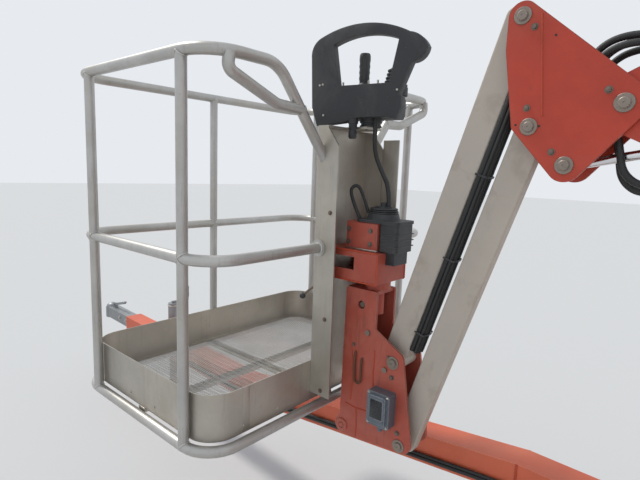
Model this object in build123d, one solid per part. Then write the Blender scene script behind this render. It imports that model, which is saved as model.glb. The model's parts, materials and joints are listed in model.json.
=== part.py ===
from build123d import *
import math
import os

# Towable boom lift, stowed as it parks: on its two road wheels and its drawbar jack.
# Millimetres. While modelling, the origin is on the floor under the turntable's axis,
# X points to the right, Y to the tow coupler and Z up. Everything above the turntable is
# drawn straight ahead and then turned by PARK_SWING, as the machine was parked.

PARK_SWING = 3.0

# Road wheels and axle
WHEEL_R = 360.0
TYRE_W = 225.0
RIM_R = 200.0
HUB_R = 60.0
WHEEL_X = 750.0
AXLE_Y = 150.0
AXLE_T = 70.0
SPINDLE_R = 22.0
FENDER_GAP = 25.0
FENDER_T = 5.0
FENDER_X = 900.0
FENDER_INNER_X = 624.0

# Chassis rails, cross members and drawbar
FRAME_SIT = 20.0
FRAME_TOP = 2 * WHEEL_R - FRAME_SIT
FRAME_H = 110.0
RAIL_X = 300.0
RAIL_W = 80.0
RAIL_REAR = -1390.0
RAIL_FRONT = 1300.0
CROSS_Y = 830.0
CROSS_W = 90.0
PLATE_T = 12.0
BUMPER_X = 780.0
BUMPER_D = 60.0
BUMPER_H = 80.0
BUMPER_Z = FRAME_TOP - 180
LAMP_X = 690.0
TIE_R = 16.0
DRAWBAR_W = 112.0
DRAWBAR_BEND_Y = 3250.0
DRAWBAR_LOW_Y = 4700.0
DRAWBAR_DROP = 204.0
DRAWBAR_END = 6100.0

# Coupler and jack
COUPLER_LEN = 380.0
BALL_R = 26.0
BALL_DEPTH = 32.0
BULB_R = 46.0
JACK_Y = 5700.0
JACK_R = 32.0
JACK_LEG_R = 26.0
JACK_TOP = FRAME_TOP - 40
JACK_LOW = JACK_TOP - 360
JACK_STROKE = 250.0
JACK_FOOT_R = 85.0

# Outriggers, one at each corner, drawn in their own upright plane
LEG_X = 660.0
LEG_Y = 1150.0
LEG_PIVOT_Z = FRAME_TOP - 200
LEG_LEN = 1000.0
LEG_REST = 85.0
LEG_W = 60.0
LEG_H = 80.0
LEG_EAR_T = 12.0
LEG_PIN_R = 16.0
LEG_LUG_AT = 560.0
LEG_LUG_OUT = 82.0
LEG_ANCHOR = (-110.0, 143.0)
LEG_BARREL_R = 24.0
LEG_BARREL_LEN = 378.0
LEG_ROD_R = 13.0
PAD_R = 100.0
PAD_T = 12.0
PAD_DROP = 70.0
LEG_SWING = 115.0

# Turntable
RING_R = 320.0
RING_MID_R = 230.0
RING_BORE_R = 150.0
RING_TOP = FRAME_TOP + 57
DECK_Z = RING_TOP + 5
DECK_T = 20.0
DECK_X = 720.0
DECK_Y = 760.0
HOOD_IN_X = 210.0
HOOD_TOP = DECK_Z + 488
HOOD_T = 5.0
HOOD_Y = 740.0
HINGE_R = 5.0
HINGE_AT = (-450.0, 350.0)
HINGE_HALF = 40.0

# Riser linkage: a lower arm and two links beside it carry the upright
RUN = 0.3
PIN_R = 20.0
CHEEK_IN = 122.0
CHEEK_T = 15.0
RISER_FRONT = (750.0, DECK_Z + 168)
RISER_REAR = (-950.0, RISER_FRONT[1])
LINK_UP = 220.0
ARM_W = 160.0
ARM_H = 160.0
ARM_WALL = 8.0
LINK_IN_X = 95.0
LINK_T = 20.0
LINK_H = 60.0
RISER_ANCHOR = (-820.0, RISER_FRONT[1] - 100)
RISER_LUG = (150.0, RISER_FRONT[1] + 30)
RISER_EAR = 42.0
RISER_BARREL_R = 38.0
RISER_BARREL_LEN = 800.0
RISER_ROD_R = 20.0

# Main boom and fly section
BOOM_PIVOT = (-980.0, RISER_REAR[1] + 856)
BOOM_PIN = (3045.0, BOOM_PIVOT[1])
PLATFORM_Y = 3900.0
PLATFORM_Z = BOOM_PIN[1] - 1036
BASE_W = 150.0
BASE_H = 230.0
BASE_WALL = 6.0
BASE_REAR = -1100.0
BASE_FRONT = 2700.0
FLY_W = 118.0
FLY_H = 190.0
FLY_REAR = -600.0
FLY_END = 2855.0
TIP_IN = 37.0
TIP_OUT = 49.0
TIP_R = 64.0
LIFT_ANCHOR = (-880.0, RISER_REAR[1] + 330)
LIFT_LUG = (250.0, BOOM_PIVOT[1] - 150)
LIFT_BARREL_R = 50.0
LIFT_BARREL_LEN = 1040.0
LIFT_ROD_R = 26.0
REST_Y = 2150.0
REST_GAP = 8.0

# Knuckle, jib and platform bracket; (Y, Z) places from the platform's own corner
JIB_T = (-605.0, 1270.0)
JIB_M = (-645.0, 988.0)
JIB_U = (-279.0, 228.0)
JIB_L = (-319.0, -54.0)
LEVEL_PIN = (-740.0, 890.0)
LEVEL_BACK = 750.0
LEVEL_UP = 25.0
LEVEL_BARREL_R = 27.0
LEVEL_BARREL_LEN = 440.0
LEVEL_ROD_R = 12.0
LEVEL_ROD_START = 395.0
LEVEL_SLOT = 37.0
PLATE_IN = 50.0
PLATE_OUT = 60.0
JIB_PIN_R = 14.0
JIB_W = 86.0
JIB_T_X = 40.0
JIB_UPPER_OFF = 22.0
JIB_LOWER_OFF = 5.0
BRACKET_TOP = 455.0
BRACKET_FRONT = -73.0
BRACKET_BACK = -203.0
ROTATOR_Y = -165.0
SHAFT_R = 24.0

# Platform: rails, posts, toe board, floor and mast
RAIL_HX = 606.5
RAIL_Y = 804.0
RAIL_CORNER = 116.0
TUBE_R = 17.5
MID_Z = 589.0
TOP_Z = 1170.0
TOE_H = 150.0
TOE_T = 3.0
TOE_GAP = 3.0
MAST_X = 135.0
MAST_T = 6.0
MAST_WEB_Y = 20.0
MAST_DEPTH = 90.0
MAST_LOW = 50.0
MAST_TOP = 1000.0
CAP_T = 8.0
CONSOLE_Y = -100.0
CONSOLE_YAW = 80.0
CONSOLE_DISC_R = 38.0
BOOT_TOP = 148.0


def box(x0, x1, y0, y1, z0, z1):
    """Block between two corners."""
    size = Box(x1 - x0, y1 - y0, z1 - z0)
    return Pos((x0 + x1) / 2, (y0 + y1) / 2, (z0 + z1) / 2) * size


def rod_x(at, radius, x0, x1):
    """Round bar along X through the (Y, Z) point."""
    bar = Rot(0, 90, 0) * Cylinder(radius, x1 - x0)
    return Pos((x0 + x1) / 2, at[0], at[1]) * bar


def rod_z(x, y, radius, z0, z1):
    """Upright round bar."""
    return Pos(x, y, (z0 + z1) / 2) * Cylinder(radius, z1 - z0)


def side_plane(x0):
    """Plane across X whose own axes are Y and Z."""
    return Plane(origin=(x0, 0, 0), x_dir=(0, 1, 0), z_dir=(1, 0, 0))


def side_plate(outline, x0, x1):
    """Flat plate from a (Y, Z) face between two X places."""
    return extrude(side_plane(x0) * outline, x1 - x0)


def side_poly(points, x0, x1):
    """Flat plate from a straight-sided (Y, Z) outline."""
    return side_plate(make_face(Polyline(*points, close=True)), x0, x1)


def lobed(circles, x0, x1):
    """Plate whose outline is drawn tight round circles (Y, Z, radius)."""
    rings = [Pos(y, z) * Circle(r) for y, z, r in circles]
    edges = [edge for ring in rings for edge in ring.edges()]
    return side_plate(make_hull(edges), x0, x1)


def mirrored(shape):
    """The shape and its copy on the other side."""
    return shape + mirror(shape, about=Plane.YZ)


def pair(maker, x0, x1, *args):
    """A plate on the right, from x0 to x1, and its twin on the left."""
    return maker(*args, x0, x1) + maker(*args, -x1, -x0)


def group(shapes):
    """Solids that stay apart, in one node."""
    return Compound([solid for shape in shapes for solid in shape.solids()])


def unit(a, b):
    """Unit vector and length from a to b in a side plane."""
    dy, dz = b[0] - a[0], b[1] - a[1]
    length = math.hypot(dy, dz)
    return dy / length, dz / length, length


def along(a, b, distance):
    """Point at a distance from a towards b."""
    uy, uz, _ = unit(a, b)
    return a[0] + uy * distance, a[1] + uz * distance


def bar_between(a, b, radius, start, stop):
    """Round bar in the middle plane on the line a to b."""
    uy, uz, _ = unit(a, b)
    low = along(a, b, start)
    plane = Plane(origin=(0, low[0], low[1]), x_dir=(1, 0, 0), z_dir=(0, uy, uz))
    return extrude(plane * Circle(radius), stop - start)


def barrel(a, b, radius, length, eye_w, pin_r, rod_r):
    """Cylinder barrel with its eye on the pin at a, open for the rod."""
    tube = bar_between(a, b, radius, pin_r + 10, length)
    eye = rod_x(a, pin_r + 14, -eye_w / 2, eye_w / 2)
    gland = bar_between(a, b, radius + 4, length - 40, length)
    body = tube + gland + eye
    body -= bar_between(a, b, rod_r + RUN, pin_r + 24, length + 1)
    return body - rod_x(a, pin_r + RUN, -eye_w, eye_w)


def ram(a, b, radius, eye_w, eye_r, start):
    """Rod from start, inside the barrel at a, to its eye at b."""
    _, _, length = unit(a, b)
    body = bar_between(a, b, radius, start, length - eye_r + 4)
    return body + rod_x(b, eye_r, -eye_w / 2, eye_w / 2)


# Chassis

def slope_outline(width_z):
    """Drawbar side outline, level, sloping and level again."""
    top = FRAME_TOP
    low = FRAME_TOP - DRAWBAR_DROP
    start = CROSS_Y + CROSS_W / 2
    return [
        (start, top), (DRAWBAR_BEND_Y, top), (DRAWBAR_LOW_Y, low), (DRAWBAR_END, low),
        (DRAWBAR_END, low - width_z), (DRAWBAR_LOW_Y, low - width_z),
        (DRAWBAR_BEND_Y, top - width_z), (start, top - width_z),
    ]


def corner_frame(sx, sy):
    """Turns the outrigger plane, drawn in Y and Z, out to one corner."""
    angle = math.degrees(math.atan2(-sx, sy))
    return Pos(sx * LEG_X, sy * LEG_Y, 0) * Rot(0, 0, angle)


CORNERS = {
    "front_left": (-1, 1), "front_right": (1, 1),
    "rear_left": (-1, -1), "rear_right": (1, -1),
}
LEG_PIVOT = (0.0, LEG_PIVOT_Z)
ANCHOR = (LEG_ANCHOR[0], LEG_PIVOT_Z + LEG_ANCHOR[1])


def leg_point(distance, out):
    """Point along the stowed leg, and out towards the machine."""
    c, s = math.cos(math.radians(LEG_REST)), math.sin(math.radians(LEG_REST))
    return distance * c - out * s, LEG_PIVOT_Z + distance * s + out * c


LEG_LUG = leg_point(LEG_LUG_AT, LEG_LUG_OUT)


def chassis_frame():
    low = FRAME_TOP - FRAME_H
    rail = box(RAIL_X - RAIL_W / 2, RAIL_X + RAIL_W / 2, RAIL_REAR, RAIL_FRONT, low, FRAME_TOP)
    body = mirrored(rail)
    for y in (-CROSS_Y, CROSS_Y, RAIL_REAR + CROSS_W, RAIL_FRONT - CROSS_W / 2):
        body += box(-RAIL_X, RAIL_X, y - CROSS_W / 2, y + CROSS_W / 2, low, FRAME_TOP)
    body -= box(-DRAWBAR_W / 2, DRAWBAR_W / 2, CROSS_Y + CROSS_W / 2, RAIL_FRONT + 1, low - 1, FRAME_TOP + 1)
    body += box(-RAIL_X, RAIL_X, -RING_R - 20, RING_R + 20, FRAME_TOP - PLATE_T, FRAME_TOP)
    ring = rod_z(0, 0, RING_R, FRAME_TOP, RING_TOP) - rod_z(0, 0, RING_MID_R, 0, DECK_Z)
    body += ring
    body += box(-BUMPER_X, BUMPER_X, RAIL_REAR - BUMPER_D, RAIL_REAR, BUMPER_Z, BUMPER_Z + BUMPER_H)
    for y in (AXLE_Y - 240, AXLE_Y + 240):
        arm = box(RAIL_X, FENDER_INNER_X - RUN, y - 20, y + 20, low, low + 40)
        body += mirrored(arm)
    hanger = box(RAIL_X - 10, RAIL_X + 10, AXLE_Y - 60, AXLE_Y + 60, WHEEL_R + AXLE_T / 2, low)
    body += mirrored(hanger)
    in_w = LEG_W / 2 + 2
    ear_x = (in_w, in_w + LEG_EAR_T)
    back = -150.0
    for sx, sy in CORNERS.values():
        place = corner_frame(sx, sy)
        stub = box(-ear_x[1], ear_x[1], -480, back, low, FRAME_TOP)
        ears = pair(lobed, ear_x[0], ear_x[1], [
            (0, LEG_PIVOT_Z, 38), (ANCHOR[0], ANCHOR[1], 34), (back, low + 20, 20),
            (back, FRAME_TOP - 20, 20),
        ])
        pins = rod_x(LEG_PIVOT, LEG_PIN_R, -ear_x[1], ear_x[1])
        pins += rod_x(ANCHOR, LEG_PIN_R, -ear_x[1], ear_x[1])
        body += place * (stub + ears + pins)
    for sx in (-1, 1):
        for y in (RAIL_REAR + 200, RAIL_FRONT - 220):
            x0, x1 = sorted((sx * (RAIL_X + RAIL_W / 2), sx * (RAIL_X + RAIL_W / 2 + 60)))
            eye = box(x0, x1, y - 8, y + 8, low, low + 70)
            hole = Pos((x0 + x1) / 2 + sx * 5, y, low + 35) * (Rot(90, 0, 0) * Cylinder(TIE_R, 40))
            body += eye - hole
    return body


def drawbar():
    half = DRAWBAR_W / 2
    body = side_poly(slope_outline(FRAME_H), -half, half)
    under = BOOM_PIVOT[1] - BASE_H / 2
    top = under - REST_GAP
    post = box(-40, 40, REST_Y - 40, REST_Y + 40, FRAME_TOP, top - 16)
    head = box(-100, 100, REST_Y - 50, REST_Y + 50, top - 16, top)
    brace = lobed([(REST_Y + 30, FRAME_TOP + 2, 5), (REST_Y + 260, FRAME_TOP + 2, 5),
                   (REST_Y + 30, FRAME_TOP + 300, 5)], -6, 6)
    return body + post + head + brace


def axle():
    beam = box(-610, 610, AXLE_Y - AXLE_T / 2, AXLE_Y + AXLE_T / 2,
               WHEEL_R - AXLE_T / 2, WHEEL_R + AXLE_T / 2)
    return beam + rod_x((AXLE_Y, WHEEL_R), SPINDLE_R, -WHEEL_X, WHEEL_X)


def fenders():
    outer = WHEEL_R + FENDER_GAP + FENDER_T
    inner = WHEEL_R + FENDER_GAP
    at = (AXLE_Y, WHEEL_R)
    shell = rod_x(at, outer, FENDER_INNER_X, FENDER_X) - rod_x(at, inner, 0, FENDER_X + 10)
    shell -= box(0, FENDER_X + 10, AXLE_Y - 500, AXLE_Y + 500, -100, WHEEL_R + 130)
    side = rod_x(at, outer, FENDER_INNER_X, FENDER_INNER_X + FENDER_T)
    side -= box(0, FENDER_X, AXLE_Y - 500, AXLE_Y + 500, -100, WHEEL_R + 200)
    return mirrored(shell + side)


def tail_lamps():
    lamp = box(LAMP_X - 75, LAMP_X + 75, RAIL_REAR - BUMPER_D - 28, RAIL_REAR - BUMPER_D,
               BUMPER_Z + 5, BUMPER_Z + BUMPER_H - 5)
    lamp = fillet(lamp.edges().filter_by(Axis.Y), 12)
    return mirrored(lamp)


def tyre(side):
    half = TYRE_W / 2
    wall = WHEEL_R - 40
    with BuildSketch(Plane.XY) as section:
        with BuildLine():
            Polyline((-half + 45, RIM_R), (-half + 10, RIM_R + 18), (-half, (RIM_R + WHEEL_R) / 2),
                     (-half + 8, wall))
            ThreePointArc((-half + 8, wall), (-half + 18, WHEEL_R - 12), (-half + 44, WHEEL_R - 2))
            Line((-half + 44, WHEEL_R - 2), (0, WHEEL_R))
            Line((0, WHEEL_R), (half - 44, WHEEL_R - 2))
            ThreePointArc((half - 44, WHEEL_R - 2), (half - 18, WHEEL_R - 12), (half - 8, wall))
            Polyline((half - 8, wall), (half, (RIM_R + WHEEL_R) / 2), (half - 10, RIM_R + 18),
                     (half - 45, RIM_R), (-half + 45, RIM_R))
        make_face()
    ring = revolve(section.sketch, Axis.X, 360)
    return Pos(side * WHEEL_X, AXLE_Y, WHEEL_R) * ring


def rim(side):
    half = TYRE_W / 2 - 30
    with BuildSketch(Plane.XY) as section:
        with BuildLine():
            Polyline((-half, RIM_R), (half, RIM_R), (half, RIM_R - 12), (30, RIM_R - 30),
                     (26, 110), (50, 90), (50, SPINDLE_R + RUN), (-60, SPINDLE_R + RUN),
                     (-60, HUB_R), (14, HUB_R + 10), (16, RIM_R - 34), (-half, RIM_R - 12),
                     close=True)
        make_face()
    disc = revolve(section.sketch, Axis.X, 360)
    for turn in range(0, 360, 72):
        hole = Rot(turn, 0, 0) * (Pos(20, 0, 145) * (Rot(0, 90, 0) * Cylinder(14, 60)))
        disc -= hole
    disc = disc if side > 0 else mirror(disc, about=Plane.YZ)
    return Pos(side * WHEEL_X, AXLE_Y, WHEEL_R) * disc


def coupler():
    top = FRAME_TOP - DRAWBAR_DROP - 10
    low = top - 80
    y1 = DRAWBAR_END + COUPLER_LEN
    body = box(-40, 40, DRAWBAR_END, y1 - 30, low, top)
    bulb = rod_z(0, y1, BULB_R, low - 6, top - 20)
    bulb += Pos(0, y1, top - 20) * Sphere(BULB_R) - box(-60, 60, y1 - 60, y1 + 60, 0, top - 20)
    body += bulb
    body -= rod_z(0, y1, BALL_R, low - 10, low - 6 + BALL_DEPTH)
    handle = lobed([(y1 - 60, top + 22, 9), (y1 - 230, top + 70, 9)], -9, 9)
    handle += lobed([(y1 - 70, top - 4, 12), (y1 - 60, top + 22, 12)], -14, 14)
    return body + handle


JACK_X = DRAWBAR_W / 2 + JACK_R + 12


def jack_housing():
    tube = rod_z(JACK_X, JACK_Y, JACK_R, JACK_LOW, JACK_TOP)
    tube -= rod_z(JACK_X, JACK_Y, JACK_LEG_R + RUN, 0, JACK_TOP - 30)
    bar = FRAME_TOP - DRAWBAR_DROP
    clamp = box(DRAWBAR_W / 2, JACK_X, JACK_Y - 45, JACK_Y + 45, bar - 96, bar - 16)
    clamp -= rod_z(JACK_X, JACK_Y, JACK_LEG_R + RUN, 0, JACK_TOP - 30)
    crank = rod_z(JACK_X, JACK_Y, 8, JACK_TOP, JACK_TOP + 14)
    crank += box(JACK_X - 8, JACK_X + 120, JACK_Y - 6, JACK_Y + 6, JACK_TOP + 4, JACK_TOP + 14)
    return tube + clamp + crank


def jack_leg():
    leg = rod_z(JACK_X, JACK_Y, JACK_LEG_R, 8, JACK_TOP - JACK_STROKE - 35)
    foot = rod_z(JACK_X, JACK_Y, JACK_FOOT_R, 0, 8)
    cone = Pos(JACK_X, JACK_Y, 23) * Cone(50, JACK_LEG_R, 30)
    return leg + foot + cone


def outrigger_leg(sx, sy):
    half = LEG_W / 2
    tilt = Pos(0, 0, LEG_PIVOT_Z) * Rot(-(90 - LEG_REST), 0, 0)
    beam = box(-half, half, -LEG_H / 2, LEG_H / 2, 20, LEG_LEN)
    inner = box(-half + 5, half - 5, -LEG_H / 2 + 5, LEG_H / 2 - 5, 60, LEG_LEN - 10)
    beam = tilt * (beam - inner)
    eye = rod_x(LEG_PIVOT, 34, -half - 1.7, half + 1.7)
    lug_in = 20.0
    lug_a = leg_point(LEG_LUG_AT - 35, LEG_H / 2 - 4)
    lug_b = leg_point(LEG_LUG_AT + 60, LEG_H / 2 - 4)
    lug = pair(lobed, lug_in, lug_in + 9, [
        (LEG_LUG[0], LEG_LUG[1], 26), (lug_a[0], lug_a[1], 4), (lug_b[0], lug_b[1], 4),
    ])
    end = leg_point(LEG_LEN, 0)
    turn = math.radians(LEG_SWING)
    down = (math.sin(turn), -math.cos(turn))
    foot = (end[0] + down[0] * PAD_DROP, end[1] + down[1] * PAD_DROP)
    stem = bar_between(end, foot, 22, -25, PAD_DROP)
    pad = bar_between(end, foot, PAD_R, PAD_DROP, PAD_DROP + PAD_T)
    body = beam + eye + lug + stem + pad
    body -= rod_x(LEG_PIVOT, LEG_PIN_R + RUN, -half - 5, half + 5)
    return corner_frame(sx, sy) * body


def leg_barrel(sx, sy):
    body = barrel(ANCHOR, LEG_LUG, LEG_BARREL_R, LEG_BARREL_LEN, LEG_W, LEG_PIN_R, LEG_ROD_R)
    return corner_frame(sx, sy) * body


def leg_ram(sx, sy):
    return corner_frame(sx, sy) * ram(ANCHOR, LEG_LUG, LEG_ROD_R, 36, 22, 46)


# Turntable and riser

def turntable():
    top = DECK_Z + DECK_T
    cut = 120.0
    x, y = DECK_X, DECK_Y
    outline = [(-x, -y + cut), (-x + cut, -y), (-150, -y), (-150, -920), (150, -920), (150, -y),
               (x - cut, -y), (x, -y + cut), (x, y - cut), (x - cut, y), (150, y), (150, 880),
               (-150, 880), (-150, y), (-x + cut, y), (-x, y - cut)]
    deck = extrude(Pos(0, 0, DECK_Z) * make_face(Polyline(*outline, close=True)), DECK_T)
    ring = rod_z(0, 0, RING_MID_R - 0.5, FRAME_TOP + 5, DECK_Z)
    deck += ring
    deck -= rod_z(0, 0, RING_BORE_R, FRAME_TOP, top + 1)
    front = RISER_FRONT
    tower = pair(lobed, CHEEK_IN, CHEEK_IN + CHEEK_T, [
        (front[0], front[1] + LINK_UP, 45), (front[0] - 100, top + 4, 10),
        (front[0] + 120, top + 4, 10),
    ])
    pins = rod_x(front, PIN_R, -CHEEK_IN - CHEEK_T, CHEEK_IN + CHEEK_T)
    pins += pair(rod_x, LINK_IN_X - 8, CHEEK_IN + CHEEK_T, (front[0], front[1] + LINK_UP), PIN_R)
    web = box(-CHEEK_IN, CHEEK_IN, front[0] + 65, front[0] + 77, top, top + 240)
    ears = pair(lobed, RISER_EAR, RISER_EAR + 12, [
        (RISER_ANCHOR[0], RISER_ANCHOR[1], 34), (RISER_ANCHOR[0] - 60, top + 2, 6),
        (RISER_ANCHOR[0] + 60, top + 2, 6),
    ])
    pins += rod_x(RISER_ANCHOR, PIN_R, -RISER_EAR - 12, RISER_EAR + 12)
    return deck + tower + pins + web + ears


def batteries():
    top = DECK_Z + DECK_T
    blocks = [box(sx * 440 - 150, sx * 440 + 150, y - 190, y + 190, top, top + 280)
              for sx in (-1, 1) for y in (-260, 260)]
    return group(blocks)


def hinge_bar(radius, y, half):
    """Round bar along Y on the hood's hinge line."""
    return Pos(HOOD_IN_X, y, HOOD_TOP) * (Rot(90, 0, 0) * Cylinder(radius, 2 * half))


def hood(side):
    low = DECK_Z + DECK_T + 8
    shell = box(HOOD_IN_X, DECK_X, -HOOD_Y, HOOD_Y, low, HOOD_TOP)
    ends = shell.edges().filter_by(Axis.Z).sort_by(Axis.X)[-2:]
    shell = fillet(ends, 110)
    rim_edges = shell.faces().sort_by(Axis.Z)[-1].edges()
    keep = [edge for edge in rim_edges if edge.center().X > HOOD_IN_X + 1]
    shell = fillet(keep, 45)
    hollow = box(HOOD_IN_X - 1, DECK_X - HOOD_T, -HOOD_Y + HOOD_T, HOOD_Y - HOOD_T,
                 low - 1, HOOD_TOP - HOOD_T)
    ends = hollow.edges().filter_by(Axis.Z).sort_by(Axis.X)[-2:]
    hollow = fillet(ends, 105)
    rim_edges = hollow.faces().sort_by(Axis.Z)[-1].edges()
    keep = [edge for edge in rim_edges if edge.center().X > HOOD_IN_X]
    hollow = fillet(keep, 40)
    shell -= hollow
    for y in HINGE_AT:
        shell -= hinge_bar(HINGE_R + RUN, y, HINGE_HALF + 1)
        shell += hinge_bar(HINGE_R + 4, y, 13)
        shell -= hinge_bar(HINGE_R + RUN, y, HINGE_HALF + 1)
    return shell if side > 0 else mirror(shell, about=Plane.YZ)


def hood_bases():
    """Inner walls that the hoods hang on, one each side."""
    top = DECK_Z + DECK_T
    inner = HOOD_IN_X - RUN
    wall = box(HOOD_IN_X - 12, inner, -HOOD_Y + 20, HOOD_Y - 60, top, HOOD_TOP - 10)
    for y in HINGE_AT:
        for y0, y1 in ((y - HINGE_HALF, y - 14), (y + 14, y + HINGE_HALF)):
            wall += box(HOOD_IN_X - 12, inner, y0, y1, HOOD_TOP - 12, HOOD_TOP + HINGE_R)
        wall += hinge_bar(HINGE_R, y, HINGE_HALF)
    return mirrored(wall)


def ground_controls():
    front = RISER_FRONT[0] + 77
    level = RISER_FRONT[1]
    case = box(-110, 110, front, front + 95, level - 50, level + 160)
    case = fillet(case.edges().filter_by(Axis.Y), 14)
    for x in (-60, -20, 20, 60):
        case += Pos(x, front + 95 + 10, level + 80) * (Rot(90, 0, 0) * Cylinder(9, 20))
    return case


def lower_arm():
    front, rear = RISER_FRONT, RISER_REAR
    half, hh = ARM_W / 2, ARM_H / 2
    z0, z1 = front[1] - hh, front[1] + hh
    y0, y1 = rear[0] + 110, front[0] - 110
    shell = box(-half, half, y0, y1, z0, z1)
    shell -= box(-half + ARM_WALL, half - ARM_WALL, y0 - 1, y1 + 1, z0 - 1, z1 - ARM_WALL)
    body = shell
    for at, inner in ((front, y1 - 5), (rear, y0 + 5)):
        body += pair(lobed, half - 12, half, [
            (at[0], at[1], 46), (inner, z0 + 20, 18), (inner, z1 - 20, 18)])
        body += rod_x(at, 38, -CHEEK_IN + RUN, CHEEK_IN - RUN)
    body += pair(lobed, 34, 46, [
        (RISER_LUG[0], RISER_LUG[1] - 6, 26), (RISER_LUG[0] - 60, z1 - 12, 5),
        (RISER_LUG[0] + 60, z1 - 12, 5)])
    for at in (front, rear):
        body -= rod_x(at, PIN_R + RUN, -CHEEK_IN, CHEEK_IN)
    return body


def parallel_links():
    up = LINK_UP
    front = (RISER_FRONT[0], RISER_FRONT[1] + up)
    rear = (RISER_REAR[0], RISER_REAR[1] + up)
    flat = box(LINK_IN_X, LINK_IN_X + LINK_T, rear[0], front[0],
               front[1] - LINK_H / 2, front[1] + LINK_H / 2)
    for at in (front, rear):
        flat += rod_x(at, 36, LINK_IN_X - 5, CHEEK_IN - RUN)
        flat -= rod_x(at, PIN_R + RUN, 0, CHEEK_IN)
    return mirrored(flat)


def upright():
    rear = RISER_REAR
    hi = (rear[0], rear[1] + LINK_UP)
    sides = pair(lobed, CHEEK_IN, CHEEK_IN + CHEEK_T, [
        (rear[0], rear[1], 52), (rear[0] - 80, rear[1] - 25, 30), (rear[0] - 90, rear[1] + 370, 32),
        (BOOM_PIVOT[0], BOOM_PIVOT[1], 70), (LIFT_ANCHOR[0], LIFT_ANCHOR[1], 45)])
    web = box(-CHEEK_IN, CHEEK_IN, rear[0] - 125, rear[0] - 113, rear[1] - 30, rear[1] + 670)
    wide = CHEEK_IN + CHEEK_T
    pins = rod_x(rear, PIN_R, -wide, wide) + rod_x(hi, PIN_R, -wide, wide)
    pins += rod_x(LIFT_ANCHOR, PIN_R, -wide, wide) + rod_x(BOOM_PIVOT, PIN_R + 2, -wide, wide)
    return sides + web + pins


def boom_base():
    hx, hz = BASE_W / 2, BASE_H / 2
    z = BOOM_PIVOT[1]
    shell = box(-hx, hx, BASE_REAR, BASE_FRONT, z - hz, z + hz)
    shell = fillet(shell.edges().filter_by(Axis.Y), 14)
    ix, iz = hx - BASE_WALL, hz - BASE_WALL
    shell -= box(-ix, ix, BASE_REAR + 300, BASE_FRONT + 1, z - iz, z + iz)
    fx, fz = FLY_W / 2 + RUN, FLY_H / 2 + RUN
    for y in (BASE_FRONT - 70, BASE_FRONT - 700):
        pads = box(-ix, ix, y, y + 60, z - iz, z + iz) - box(-fx, fx, y - 1, y + 61, z - fz, z + fz)
        shell += pads - box(-ix - 1, ix + 1, y - 1, y + 61, z - 40, z + 40)
    collar = box(-hx - 8, hx + 8, BASE_FRONT - 60, BASE_FRONT, z - hz - 8, z + hz + 8)
    collar -= box(-hx + 2, hx - 2, BASE_FRONT - 61, BASE_FRONT + 1, z - hz + 2, z + hz - 2)
    shell += collar
    shell -= box(-LEVEL_SLOT, LEVEL_SLOT, BASE_FRONT - 115, BASE_FRONT + 1, z - hz - 9, z - hz + 40)
    shell += rod_x(BOOM_PIVOT, 58, -CHEEK_IN + RUN, CHEEK_IN - RUN)
    under = z - hz
    shell += pair(lobed, 34, 48, [
        (LIFT_LUG[0], LIFT_LUG[1], 30), (LIFT_LUG[0] - 70, under + 2, 5), (LIFT_LUG[0] + 70, under + 2, 5)])
    return shell - rod_x(BOOM_PIVOT, PIN_R + 2 + RUN, -CHEEK_IN, CHEEK_IN)


def fly_boom():
    hx, hz = FLY_W / 2, FLY_H / 2
    z = BOOM_PIN[1]
    shell = box(-hx, hx, FLY_REAR, FLY_END, z - hz, z + hz)
    shell = fillet(shell.edges().filter_by(Axis.Y), 10)
    shell -= box(-hx + 6, hx - 6, FLY_REAR - 1, FLY_END + 1, z - hz + 6, z + hz - 6)
    shell -= box(-LEVEL_SLOT, LEVEL_SLOT, FLY_END - 300, FLY_END + 1, z - hz - 1, z)
    shell += rod_x(LEVEL_ANCHOR, 12, -hx + 3, hx - 3)
    return shell


def fly_tip():
    y, z = BOOM_PIN
    hz = FLY_H / 2
    cheeks = pair(lobed, TIP_IN, TIP_OUT, [
        (y, z, TIP_R), (y - 50, z + hz - 12, 12), (y - 50, z - hz + 12, 12),
        (FLY_END - 40, z + hz - 22, 12), (FLY_END - 40, z - hz + 22, 12)])
    cheeks += box(-TIP_OUT, TIP_OUT, FLY_END, FLY_END + 12, z + 20, z + hz)
    collar = box(-FLY_W / 2, FLY_W / 2, FLY_END, FLY_END + 12, z - hz, z + hz)
    collar -= box(-TIP_IN, TIP_IN, FLY_END - 1, FLY_END + 13, z - hz - 1, z + hz - 14)
    cheeks += collar
    cheeks += rod_x(BOOM_PIN, 32, -TIP_OUT - 0.7, TIP_OUT + 0.7)
    inside = box(-FLY_W / 2 + 6, FLY_W / 2 - 6, FLY_END - 60, FLY_END, z - hz + 6, z + hz - 6)
    outside = box(-FLY_W, FLY_W, FLY_END - 80, FLY_END, z - hz - 9, z + hz + 9)
    cheeks -= outside - inside
    return cheeks - rod_x(BOOM_PIN, JIB_PIN_R + RUN, -FLY_W, FLY_W)


def up(point):
    """Platform side place (Y, Z) in the machine's own frame."""
    return point[0] + PLATFORM_Y, point[1] + PLATFORM_Z


LEVEL_ANCHOR = (BOOM_PIN[0] - LEVEL_BACK, BOOM_PIN[1] + LEVEL_UP)
T, M, U, L, C = (up(p) for p in (JIB_T, JIB_M, JIB_U, JIB_L, LEVEL_PIN))


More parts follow.
